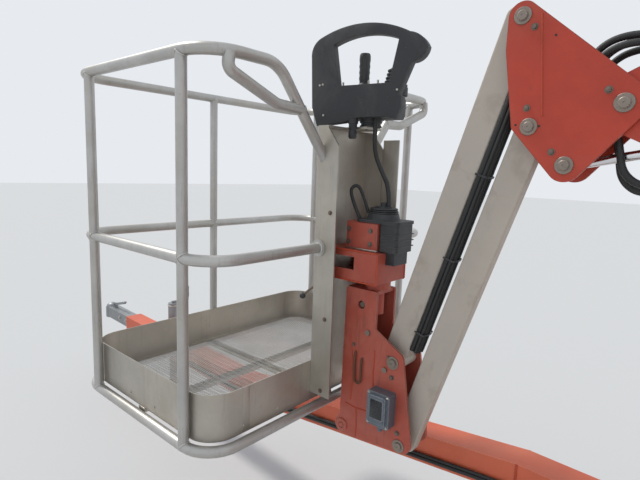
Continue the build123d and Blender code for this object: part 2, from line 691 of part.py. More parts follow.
def knuckle():
    plates = pair(lobed, PLATE_IN, PLATE_OUT, [
        (T[0], T[1], 37), (T[0] + 27, T[1] - 82, 10), (M[0] + 34, M[1] + 2, 12),
        (C[0], C[1], 42), (BOOM_PIN[0], BOOM_PIN[1], 50)])
    web = lobed([(T[0] - 65, T[1] - 22, 5), (T[0] - 175, T[1] - 125, 5)], -PLATE_IN, PLATE_IN)
    tie = rod_x((C[0], M[1] + 72), 16, -PLATE_IN, PLATE_IN)
    body = plates + web + tie
    for at in (T, M, BOOM_PIN, C):
        body -= rod_x(at, JIB_PIN_R, -80, 80)
    return body


def knuckle_pins():
    reach = PLATE_OUT + 7
    pins = [rod_x(at, JIB_PIN_R, -reach, reach) for at in (T, M, BOOM_PIN)]
    pins += [rod_x(C, JIB_PIN_R, PLATE_IN - 4, reach), rod_x(C, JIB_PIN_R, -reach, -PLATE_IN + 4)]
    return group(pins)


def jib_arm(low, high, offset):
    uy, uz, length = unit(low, high)
    ny, nz = uz, -uy
    base = (low[0] + ny * offset, low[1] + nz * offset)
    plane = Plane(origin=(0, base[0], base[1]), x_dir=(1, 0, 0), z_dir=(0, uy, uz))
    half = JIB_W / 2
    tube = Pos(0, 0, length / 2) * Box(JIB_T_X, JIB_W, length + 60)
    tube = fillet(tube.edges().filter_by(Axis.X), 24)
    tube = fillet(tube.edges().filter_by(Axis.Z), 5)
    body = plane * tube
    wide = PLATE_IN - RUN
    for at in (low, high):
        body += rod_x(at, 27, -wide, wide)
        body -= rod_x(at, JIB_PIN_R + RUN, -80, 80)
    return body


def bracket():
    front, back = PLATFORM_Y + BRACKET_FRONT, PLATFORM_Y + BRACKET_BACK
    low, top = PLATFORM_Z - 100, PLATFORM_Z + BRACKET_TOP
    column = [(front, low + 30, 8), (front - 8, top - 8, 8), (back + 8, top - 8, 8), (back + 8, low + 40, 8)]
    lobe_outline = [up((-175, 307)) + (28,), up((-298, 245)) + (20,), up((-333, -44)) + (30,),
                    up((-90, -70)) + (30,), up((-120, 290)) + (10,)]
    foot_outline = [up((-76, -70)) + (30,), up((-140, -70)) + (30,), up((-90, 0)) + (10,)]
    body = pair(lobed, PLATE_IN, PLATE_OUT, column)
    body += pair(lobed, PLATE_IN, PLATE_OUT, lobe_outline)
    body += pair(lobed, PLATE_IN, PLATE_OUT, foot_outline)
    body += box(-PLATE_IN, PLATE_IN, front - 10, front, low + 60, top)
    body += box(-PLATE_IN, PLATE_IN, back + 5, front, top - 12, top)
    body += box(-PLATE_IN, PLATE_IN, back + 15, front, low, low + 10)
    for at in (U, L):
        body -= rod_x(at, JIB_PIN_R, -80, 80)
    body -= rod_x(up((-140, 399)), 15, -80, 80)
    axis = PLATFORM_Y + ROTATOR_Y
    body += rod_z(0, axis, SHAFT_R, top - 90, SUPPORT_TOP - 2)
    return body


SUPPORT_LOW = PLATFORM_Z + 485
SUPPORT_TOP = PLATFORM_Z + 590


def bracket_pins():
    reach = PLATE_OUT + 7
    pins = [rod_x(at, JIB_PIN_R, -reach, reach) for at in (U, L)]
    for at in (up((-175, 307)), up((-250, 195))):
        pins += [rod_x(at, 9, PLATE_OUT, reach), rod_x(at, 9, -reach, -PLATE_OUT)]
    return group(pins)


def outlet_box():
    y0, y1 = PLATFORM_Y - 300, PLATFORM_Y - 212
    z0, z1 = PLATFORM_Z + 8, PLATFORM_Z + 128
    case = box(-PLATE_OUT - 42, -PLATE_OUT, y0, y1, z0, z1)
    case = fillet(case.edges().filter_by(Axis.X), 8)
    lid = box(-PLATE_OUT - 50, -PLATE_OUT - 42, y0 + 10, y1 - 10, z0 + 12, z1 - 10)
    return case + fillet(lid.edges().filter_by(Axis.X), 6)


# Platform

def rotator_support():
    y0 = PLATFORM_Y + ROTATOR_Y - 50
    y1 = PLATFORM_Y + MAST_WEB_Y - MAST_T - 5
    body = box(-88, 88, y0, y1, SUPPORT_LOW, SUPPORT_TOP)
    body -= box(-80, 80, y0 + 8, y1 + 1, SUPPORT_LOW + 8, SUPPORT_TOP - 8)
    slot = box(-100, 100, y0 + 95, y1 - 20, SUPPORT_LOW + 38, SUPPORT_TOP - 22)
    body -= slot
    axis = PLATFORM_Y + ROTATOR_Y
    flange = rod_z(0, axis, 44, PLATFORM_Z + BRACKET_TOP + RUN, SUPPORT_TOP - 8)
    body += flange
    block = box(-60, 60, PLATFORM_Y - 190, PLATFORM_Y - 62, SUPPORT_TOP, SUPPORT_TOP + 98)
    body += fillet(block.edges().filter_by(Axis.Y), 8)
    return body - rod_z(0, axis, SHAFT_R + RUN, 0, SUPPORT_TOP - 1)


def rotator_boot():
    """Black valve housing behind the actuator, with a ribbed rubber bell on top."""
    y = PLATFORM_Y
    rear = box(-54, 54, y - 262, y - 190, SUPPORT_TOP + 4, SUPPORT_TOP + 99)
    rear = fillet(rear.edges().filter_by(Axis.Z), 14)
    low = box(-40, 40, y - 250, y - 215, SUPPORT_TOP - 40, SUPPORT_TOP + 10)
    cap = box(-61, 61, y - 265, y - 96, SUPPORT_TOP + 98, SUPPORT_TOP + 108)
    cap = fillet(cap.edges().filter_by(Axis.Z), 20)
    bell = Pos(0, y - 172, SUPPORT_TOP + 118) * Cone(58, 52, 20)
    bell += Pos(0, y - 172, SUPPORT_TOP + 128 + (BOOT_TOP - 128) / 2) * Cone(47, 41, BOOT_TOP - 128)
    return rear + low + cap + bell


def mast():
    y1 = PLATFORM_Y + MAST_WEB_Y
    y0 = y1 - MAST_DEPTH
    z0, z1 = PLATFORM_Z + MAST_LOW, PLATFORM_Z + MAST_TOP
    web = box(-MAST_X, MAST_X, y1 - MAST_T, y1, z0, z1)
    flanges = pair(side_poly, MAST_X - MAST_T, MAST_X,
                   [(y1, z0), (y1, z1), (y0 + 45, z1), (y0, z1 - 60), (y0, z0)])
    cap = box(-MAST_X, MAST_X, y0 + 45, y1, z1, z1 + CAP_T)
    cap += box(-44, 44, y0 - 45, y0 + 50, z1, z1 + CAP_T)
    backing = box(-MAST_X + MAST_T, MAST_X - MAST_T, y1 - MAST_T - 5, y1 - MAST_T,
                  SUPPORT_LOW - 20, PLATFORM_Z + 790)
    return web + flanges + cap + backing


def loop_path(z, gap):
    """Rail line round the platform from one side of the mast to the other."""
    x, y, r = RAIL_HX, RAIL_Y, RAIL_CORNER
    points = [(gap, 0, z), (x, 0, z), (x, y, z), (-x, y, z), (-x, 0, z), (-gap, 0, z)]
    return FilletPolyline(*points, radius=r)


def tube_on(path):
    start = path.position_at(0)
    plane = Plane(origin=start, z_dir=path.tangent_at(0))
    return sweep(plane * Circle(TUBE_R), path)


def closed_rail(z):
    x, y, r = RAIL_HX, RAIL_Y, RAIL_CORNER
    half = FilletPolyline((0, 0, z), (x, 0, z), (x, y, z), (0, y, z), radius=r)
    tube = tube_on(half)
    return tube + mirror(tube, about=Plane.YZ)


def top_rail():
    x, y, r = RAIL_HX, RAIL_Y, RAIL_CORNER
    z = TOP_Z
    half = FilletPolyline(
        (0, y, z), (-x, y, z), (-x, 0, z), (-350, 0, z), (-MAST_X + 30, 0, 876),
        radius=[r, r, 110])
    grab = FilletPolyline((-575, 0, z), (-500, 0, 1122), (-335, 0, 1036), (-228, 0, 1028), radius=[60, 60])
    side = tube_on(half) + tube_on(grab)
    side += mirror(side, about=Plane.YZ)
    keep = box(-MAST_X, MAST_X, -RAIL_CORNER, RAIL_CORNER, 0, TOP_Z + TUBE_R + 1)
    return side - keep


def mid_rail():
    tube = tube_on(loop_path(MID_Z, MAST_X))
    for sx in (-1, 1):
        x0, x1 = sorted((sx * MAST_X, sx * (MAST_X + 6)))
        tube += rod_x((0, MID_Z), 30, x0, x1)
    return tube


POST_XY = [(-RAIL_HX, RAIL_Y - RAIL_CORNER), (-RAIL_HX, RAIL_CORNER), (13, RAIL_Y),
           (RAIL_HX, RAIL_CORNER), (RAIL_HX, RAIL_Y - RAIL_CORNER)]


def basket_rails():
    rails = [top_rail(), mid_rail(), closed_rail(0.0)]
    return Pos(0, PLATFORM_Y, PLATFORM_Z) * group(rails)


def basket_posts():
    cut = group([top_rail(), mid_rail(), closed_rail(0.0)])
    posts = []
    for x, y in POST_XY:
        post = rod_z(x, y, TUBE_R - 0.5, 0, TOP_Z) - cut
        posts += [solid for solid in post.solids() if solid.volume > 50000]
    return Pos(0, PLATFORM_Y, PLATFORM_Z) * group(posts)


def toe_outline(inset):
    return RectangleRounded(2 * (RAIL_HX - inset), RAIL_Y - 2 * inset, RAIL_CORNER - inset)


FLOOR_Z = TUBE_R


def toe_board():
    outer = TUBE_R + TOE_GAP
    base = Pos(0, RAIL_Y / 2, FLOOR_Z + 4)
    wall = extrude(base * (toe_outline(outer) - toe_outline(outer + TOE_T)), TOE_H)
    lip = extrude(base * (toe_outline(outer) - toe_outline(outer + 22)), TOE_T)
    return Pos(0, PLATFORM_Y, PLATFORM_Z) * (wall + lip)


def basket_floor():
    inset = TUBE_R + TOE_GAP
    sheet = extrude(Pos(0, RAIL_Y / 2, FLOOR_Z) * toe_outline(inset), 4)
    rails = closed_rail(0.0)
    bearers = box(-RAIL_HX, RAIL_HX, RAIL_Y / 2 - 20, RAIL_Y / 2 + 20, 2, FLOOR_Z)
    bearers += box(-50, -10, 0, RAIL_Y, 2, FLOOR_Z)
    bearers -= rails
    return Pos(0, PLATFORM_Y, PLATFORM_Z) * (sheet + bearers)


def in_console(shape):
    """From the console's own frame, swivelled on its disc above the mast, to the machine's."""
    swivel = Pos(0, CONSOLE_Y, 0) * Rot(0, 0, -CONSOLE_YAW)
    return Pos(0, PLATFORM_Y, PLATFORM_Z) * (swivel * shape)


CONSOLE_DECK = 1142.0
CONSOLE_BACK = -70.0
GUARD_T = 58.0
GUARD_SHOULDER = 1243.0
STICK_AT = (-45.0, 24.0)


def guard_face():
    """Back view of the moulded guard: base, two legs and a wide bow with an overhang."""
    plane = Plane(origin=(0, CONSOLE_BACK, 0), x_dir=(1, 0, 0), z_dir=(0, -1, 0))
    with BuildSketch(plane) as guard:
        with BuildLine():
            Polyline((136, 1104), (150, 1102), (150, 1064), (134, 1024), (90, 1036), (-16, 1036),
                     (-75, 1020), (-176, 1010), (-198, 1075), (-205, 1240))
            ThreePointArc((-205, 1240), (-198, 1278), (-170, 1303))
            ThreePointArc((-170, 1303), (-10, 1334), (150, 1291))
            ThreePointArc((150, 1291), (196, 1266), (211, 1243))
            ThreePointArc((211, 1243), (202, 1217), (171, 1200))
            Line((171, 1200), (136, 1104))
        make_face()
        with BuildLine():
            Line((-87, CONSOLE_DECK), (95, CONSOLE_DECK))
            Line((95, CONSOLE_DECK), (117, 1274))
            ThreePointArc((117, 1274), (4, 1299), (-110, 1276))
            Line((-110, 1276), (-87, CONSOLE_DECK))
        make_face(mode=Mode.SUBTRACT)
    return guard.sketch


def console_tub():
    """Shallow case in front of the guard, with its deck sloping away."""
    back = CONSOLE_BACK + GUARD_T
    side = [(back - 5, 1036), (back - 5, CONSOLE_DECK - 2), (back + 5, CONSOLE_DECK - 2),
            (76, 1108), (76, 1050), (62, 1036)]
    tub = side_poly(side, -176, 130)
    return fillet(tub.edges().filter_by(Axis.Z).sort_by(Axis.Y)[-2:], 18)


def console():
    guard = extrude(guard_face(), -GUARD_T)
    back_face = guard.faces().sort_by(Axis.Y)[0]
    guard = chamfer(back_face.inner_wires()[0].edges(), 7)
    crown = [edge for edge in guard.faces().sort_by(Axis.Y)[0].outer_wire().edges()
             if edge.center().Z > GUARD_SHOULDER or edge.center().X < -180]
    guard = chamfer(crown, 6)
    bow = extrude(guard_face(), -GUARD_T - 55) & box(-300, 300, -200, 200, 1232, 1400)
    disc = rod_z(0, 0, CONSOLE_DISC_R, MAST_TOP + CAP_T, 1037)
    plug = rod_z(-42, -52, 10, 968, 1034)
    boot = rod_z(78, 12, 30, 1110, 1140)
    for step in range(4):
        boot += Pos(78, 12, 1148 + 14 * step) * Cone(29 - 2 * step, 25 - 2 * step, 16)
    return in_console(guard + bow + console_tub() + disc + plug + boot)


def joystick():
    x, y = STICK_AT
    stick = rod_z(x, y, 17, CONSOLE_DECK, CONSOLE_DECK + 104)
    stick = fillet(stick.edges().sort_by(Axis.Z)[-1:], 6)
    skirt = rod_z(x, y, 31, CONSOLE_DECK - 40, CONSOLE_DECK - 2)
    skirt += Pos(x, y, CONSOLE_DECK + 8) * Cone(31, 20, 20)
    return in_console(stick + skirt - Pos(0, 0, RUN) * console_tub())


def cord_radii(points, radius):
    """A radius for each corner, as large as its two runs allow, and printed with its size."""
    places = [Vector(*point) for point in points]
    radii = []
    for before, at, after in zip(places, places[1:], places[2:]):
        turn = math.radians((at - before).get_angle(after - at))
        shorter = min((at - before).length, (after - at).length)
        radii.append(0.45 * shorter / math.tan(turn / 2))
    print("bend radii", [round(value) for value in radii], "of a cord of radius", radius)
    return radii


def cable(points, radius):
    path = FilletPolyline(*points, radius=cord_radii(points, radius))
    plane = Plane(origin=path.position_at(0), z_dir=path.tangent_at(0))
    return sweep(plane * Circle(radius), path)


def platform_cables():
    """The console's lead down to the rotator, and the loop that stands over the rotator."""
    boot_top = SUPPORT_TOP - PLATFORM_Z + BOOT_TOP
    lead = [(-30, -141, 1035.7), (-30, -139, 970), (-12, -134, 915), (-2, -158, 858),
            (2, -188, 806), (2, -190, boot_top + 0.3)]
    loop = [(-44, -103, boot_top - 26), (-50, -80, 755), (-46, -62, 802), (-30, -70, 808),
            (-18, -92, 765), (-14, -112, boot_top - 8)]
    cables = [cable(lead, 8), cable(loop, 6)]
    return Pos(0, PLATFORM_Y, PLATFORM_Z) * group(cables)


def jib_hoses():
    """Hoses clipped along the jib's upper arm, between the two arms."""
    uy, uz, length = unit(U, T)
    ny, nz = uz, -uy
    near = JIB_UPPER_OFF - JIB_W / 2
    solids = []
    for x, drop in ((-12, 9.5), (8, 9.5)):
        a = (U[0] + ny * (near - drop) + uy * 150, U[1] + nz * (near - drop) + uz * 150)
        b = (a[0] + uy * (length - 420), a[1] + uz * (length - 420))
        plane = Plane(origin=(x, a[0], a[1]), x_dir=(1, 0, 0), z_dir=(0, uy, uz))
        solids.append(extrude(plane * Circle(9), length - 420))
    return group(solids)


SIDES = {"left": -1, "right": 1}


def swung(shape):
    return Rot(0, 0, PARK_SWING) * shape


def build():
    parts = {
        "chassis_frame": chassis_frame(), "drawbar": drawbar(), "axle": axle(),
        "fenders": fenders(), "tail_lamps": tail_lamps(), "coupler": coupler(),
        "jack_housing": jack_housing(), "jack_leg": jack_leg(),
    }
    for name, side in SIDES.items():
        parts["tyre_" + name] = tyre(side)
        parts["rim_" + name] = rim(side)
    for name, (sx, sy) in CORNERS.items():
        parts["outrigger_leg_" + name] = outrigger_leg(sx, sy)
        parts["outrigger_barrel_" + name] = leg_barrel(sx, sy)
        parts["outrigger_rod_" + name] = leg_ram(sx, sy)
    upper = {
        "turntable": turntable() + hood_bases(), "batteries": batteries(),
        "ground_controls": ground_controls(), "lower_arm": lower_arm(),
        "parallel_links": parallel_links(), "upright": upright(),
        "riser_barrel": barrel(RISER_ANCHOR, RISER_LUG, RISER_BARREL_R, RISER_BARREL_LEN,
                               2 * RISER_EAR - 4, PIN_R, RISER_ROD_R),
        "riser_rod": ram(RISER_ANCHOR, RISER_LUG, RISER_ROD_R, 60, 24, 60),
        "boom_base": boom_base(),
        "lift_barrel": barrel(LIFT_ANCHOR, LIFT_LUG, LIFT_BARREL_R, LIFT_BARREL_LEN,
                              90, PIN_R, LIFT_ROD_R),
        "lift_rod": ram(LIFT_ANCHOR, LIFT_LUG, LIFT_ROD_R, 60, 28, 60),
        "fly_boom": fly_boom(), "fly_tip": fly_tip(),
        "level_barrel": barrel(LEVEL_ANCHOR, C, LEVEL_BARREL_R, LEVEL_BARREL_LEN, 50, 12, LEVEL_ROD_R),
        "level_rod": ram(LEVEL_ANCHOR, C, LEVEL_ROD_R, 40, 22, LEVEL_ROD_START),
        "knuckle": knuckle(), "knuckle_pins": knuckle_pins(),
        "jib_upper_arm": jib_arm(U, T, JIB_UPPER_OFF), "jib_lower_arm": jib_arm(L, M, JIB_LOWER_OFF),
        "jib_hoses": jib_hoses(),
        "platform_bracket": bracket(), "bracket_pins": bracket_pins(), "outlet_box": outlet_box(),
        "rotator_support": rotator_support(), "rotator_boot": rotator_boot(), "mast": mast(),
        "basket_rails": basket_rails(), "basket_posts": basket_posts(),
        "toe_board": toe_board(), "basket_floor": basket_floor(),
        "control_console": console(), "joystick": joystick(), "platform_cable": platform_cables(),
    }
    for name, side in SIDES.items():
        upper["hood_" + name] = hood(side)
    parts.update({name: swung(shape) for name, shape in upper.items()})
    return parts


REAR_END = RAIL_REAR - BUMPER_D - 28
FRONT_END = DRAWBAR_END + COUPLER_LEN + BULB_R
MID_Y = (REAR_END + FRONT_END) / 2

os.makedirs("parts", exist_ok=True)
for name, shape in build().items():
    placed = Pos(0, -MID_Y, 0) * shape
    export_step(placed, "parts/" + name + ".step")
    print(name, len(placed.solids()), round(placed.volume / 1e6, 3))
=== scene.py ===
# %% [markdown]
# A towable boom lift, dressed for its portrait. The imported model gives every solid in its
# place, and this script adds a camera, light, finishes and the small pieces that solids
# leave out. The frame is loaded first, because every piece below rides on one of its bodies.

# %% Load the frame
import bpy
import bmesh
import json
import math
from mathutils import Matrix, Vector


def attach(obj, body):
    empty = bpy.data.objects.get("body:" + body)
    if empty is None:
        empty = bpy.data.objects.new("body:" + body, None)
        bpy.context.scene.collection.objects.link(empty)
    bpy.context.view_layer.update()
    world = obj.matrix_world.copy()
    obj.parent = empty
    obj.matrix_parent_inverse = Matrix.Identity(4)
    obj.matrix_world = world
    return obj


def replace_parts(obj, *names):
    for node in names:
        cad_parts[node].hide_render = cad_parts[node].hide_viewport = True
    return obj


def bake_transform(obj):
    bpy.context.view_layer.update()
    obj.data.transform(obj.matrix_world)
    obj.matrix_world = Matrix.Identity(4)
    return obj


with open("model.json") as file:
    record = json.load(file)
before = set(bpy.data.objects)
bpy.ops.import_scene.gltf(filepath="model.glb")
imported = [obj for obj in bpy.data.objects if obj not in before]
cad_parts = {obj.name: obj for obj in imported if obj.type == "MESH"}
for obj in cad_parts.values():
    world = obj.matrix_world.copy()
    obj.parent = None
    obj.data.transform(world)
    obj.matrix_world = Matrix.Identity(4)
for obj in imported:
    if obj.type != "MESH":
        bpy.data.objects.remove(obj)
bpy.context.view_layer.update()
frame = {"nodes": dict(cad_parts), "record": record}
nodes = frame["nodes"]
print("solids in the frame:", len(nodes))

# %% [markdown]
# The lift was parked with its upper half turned a little on its slew ring. Places on the
# platform are easiest to write from the platform's own corner, so one matrix carries them
# into the frame: up to the platform, round by the parked angle, and back to the middle.
# The chassis has the same middle but no turn. A site is such a place with the body that
# carries what stands there.

# %% Places on the machine
PARK_SWING = math.radians(3.0)
PLATFORM_Y = 3.900
PLATFORM_Z = 0.750
MID_Y = 2.524
CHASSIS = Matrix.Translation((0, -MID_Y, 0))
TURNED = CHASSIS @ Matrix.Rotation(PARK_SWING, 4, "Z")
PLATFORM = TURNED @ Matrix.Translation((0, PLATFORM_Y, PLATFORM_Z))
BASKET, BRACKET, KNUCKLE, JIB = [(PLATFORM, body) for body in
                                 ("platform", "bracket", "knuckle", "jib_upper_arm")]
GROUND, DECK, BOOM = (CHASSIS, "chassis"), (TURNED, "turntable"), (TURNED, "boom")
SIDES = (-1, 1)
print("platform corner at", [round(v, 3) for v in PLATFORM.translation])

# %% [markdown]
# The camera stands outside the platform's left corner at eye height and looks along it,
# a little down. A short lens of 26.7 mm gives the strong depth of the picture: near rails
# large, jib leaning away.

# %% Camera
CAMERA_AT = Vector((-1.37494, -1.07160, 0.85464))
PITCH_DOWN = math.radians(8.257)
ROLL = math.radians(2.023)
HEADING = math.radians(49.271)
LENS = 26.714


def show(name, data):
    """A new object in the scene."""
    thing = bpy.data.objects.new(name, data)
    bpy.context.scene.collection.objects.link(thing)
    return thing


ahead = Vector((math.sin(HEADING), math.cos(HEADING), 0))
across = Vector((math.cos(HEADING), -math.sin(HEADING), 0))
look = ahead * math.cos(PITCH_DOWN) - Vector((0, 0, math.sin(PITCH_DOWN)))
top = ahead * math.sin(PITCH_DOWN) + Vector((0, 0, math.cos(PITCH_DOWN)))
camera_x = across * math.cos(ROLL) + top * math.sin(ROLL)
camera_y = top * math.cos(ROLL) - across * math.sin(ROLL)
pose = Matrix((camera_x, camera_y, -look)).transposed().to_4x4()
pose.translation = CAMERA_AT

camera_data = bpy.data.cameras.new("camera")
camera_data.lens = LENS
camera_data.sensor_width = 36.0
camera_data.clip_start = 0.02
camera = show("camera", camera_data)
camera.matrix_world = PLATFORM @ pose
bpy.context.scene.camera = camera
print("camera at", [round(v, 3) for v in camera.matrix_world.translation])

# %% [markdown]
# Finishes come from one small kit. Paint on a working machine is never one colour: it has
# faded clouds, dust, fine scratches, and bare edges where hands and chains rub it. For the
# last it compares the true normal with one that is rounded over a few millimetres: the two
# differ only near an edge, so that is where it wears. On the drawbar the same edge mask lays
# a lighter orange, which is a painted highlight along its edges.

# %% Material kit
NOISE_ROUGHNESS = 0.62
RELIEF_DEPTH = 0.002


def wired(tree, kind, inputs=None, out=0, **settings):
    """Adds a node with its settings, fills or wires its inputs, and gives one output."""
    node = tree.nodes.new(kind)
    for label, value in settings.items():
        setattr(node, label, value)
    for label, value in (inputs or {}).items():
        if isinstance(value, bpy.types.NodeSocket):
            tree.links.new(value, node.inputs[label])
        else:
            node.inputs[label].default_value = value
    return node.outputs[out] if len(node.outputs) else None


def noise(tree, vector, size, detail, distortion=0.0):
    """A cloudy noise on a vector, at so many lumps a metre."""
    return wired(tree, "ShaderNodeTexNoise",
                 {"Vector": vector, "Scale": size, "Detail": detail,
                  "Roughness": NOISE_ROUGHNESS, "Distortion": distortion}, "Fac")


def remap(tree, value, low, high, out_low=0.0, out_high=1.0):
    """Stretches a value between two marks."""
    return wired(tree, "ShaderNodeMapRange",
                 {"Value": value, "From Min": low, "From Max": high, "To Min": out_low,
                  "To Max": out_high}, "Result")


def layer(tree, under, colour, mask):
    """Lays a colour over another where the mask is white."""
    return wired(tree, "ShaderNodeMix", {"Factor": mask, "A": under, "B": (*colour, 1)},
                 "Result", data_type="RGBA")


def times(tree, first, second):
    """Product of two values."""
    return wired(tree, "ShaderNodeMath", {0: first, 1: second}, operation="MULTIPLY")


def finish(name, colour, worn, wear=0.3, scale=5.0, rough=0.5, metal=0.0, bump=0.15,
           grain=90.0, coat=0.0, shade=0.84, edge=None, edge_size=0.004, dust=None,
           streaks=None):
    """A procedural finish: clouds, dust, worn patches, streaks and an edge colour (worn bare
    paint; on the drawbar, painted highlight).
    """
    made = bpy.data.materials.new(name)
    made.use_nodes = True
    tree = made.node_tree
    shader = tree.nodes["Principled BSDF"].inputs
    shader["Metallic"].default_value = metal
    shader["Coat Weight"].default_value = coat
    spot = wired(tree, "ShaderNodeTexCoord", out="Object")
    clouds = noise(tree, spot, scale, 6)
    flecks = noise(tree, spot, scale * 9, 8, 0.4)
    ramp = tree.nodes.new("ShaderNodeValToRGB")
    for stop, position, tone in zip(ramp.color_ramp.elements, (0.35, 0.65), (shade, 1.0)):
        stop.position = position
        stop.color = (*[channel * tone for channel in colour], 1)
    tree.links.new(clouds, ramp.inputs["Fac"])
    paint = ramp.outputs["Color"]
    if dust:
        haze = noise(tree, spot, scale * 0.55, 5, 0.8)
        paint = layer(tree, paint, dust[0], remap(tree, haze, 0.45, 0.75, 0.0, dust[1]))
    spots = remap(tree, flecks, 0.72 - 0.25 * wear, 0.80 - 0.15 * wear, 0.0,
                  min(1.0, 0.45 + wear))
    paint = layer(tree, paint, worn, spots)
    if streaks:
        runs = wired(tree, "ShaderNodeMapping", {"Vector": spot, "Scale": streaks[2]})
        marks = noise(tree, runs, 1.0, 7, 0.3)
        paint = layer(tree, paint, streaks[0], remap(tree, marks, 0.56, 0.66, 0.0, streaks[1]))
    if edge:
        soft = wired(tree, "ShaderNodeBevel", {"Radius": edge_size}, "Normal", samples=4)
        true = wired(tree, "ShaderNodeNewGeometry", out="Normal")
        same = wired(tree, "ShaderNodeVectorMath", {0: soft, 1: true}, "Value",
                     operation="DOT_PRODUCT")
        # Edge mask: worn bare paint on most finishes, a painted highlight on the drawbar.
        wear_and_sheen_edge = times(tree, remap(tree, same, 0.995, 0.90), remap(tree, flecks, 0.40, 0.52))
        paint = layer(tree, paint, edge[0],
                      times(tree, wear_and_sheen_edge, remap(tree, clouds, 0.0, 0.6, 0.2, edge[1])))
    gloss = remap(tree, flecks, 0.0, 1.0, max(0.05, rough - 0.12), min(1.0, rough + 0.18))
    relief = wired(tree, "ShaderNodeBump", {"Height": noise(tree, spot, grain, 4),
                                            "Strength": bump, "Distance": RELIEF_DEPTH})
    for label, value in (("Base Color", paint), ("Roughness", gloss), ("Normal", relief)):
        tree.links.new(value, shader[label])
    return made


print("material kit is ready")

# %% [markdown]
# The record names a finish slot for every solid. The orange was sprayed in several places
# and has aged in several ways, so the bracket is faded and dusty, the knuckle is deeper, and
# the drawbar is bright, with a lighter orange on its edges that is a painted highlight.

# %% Finishes
PRIMER = (0.10, 0.055, 0.035)


def mix(*numbers, **extras):
    return numbers, extras


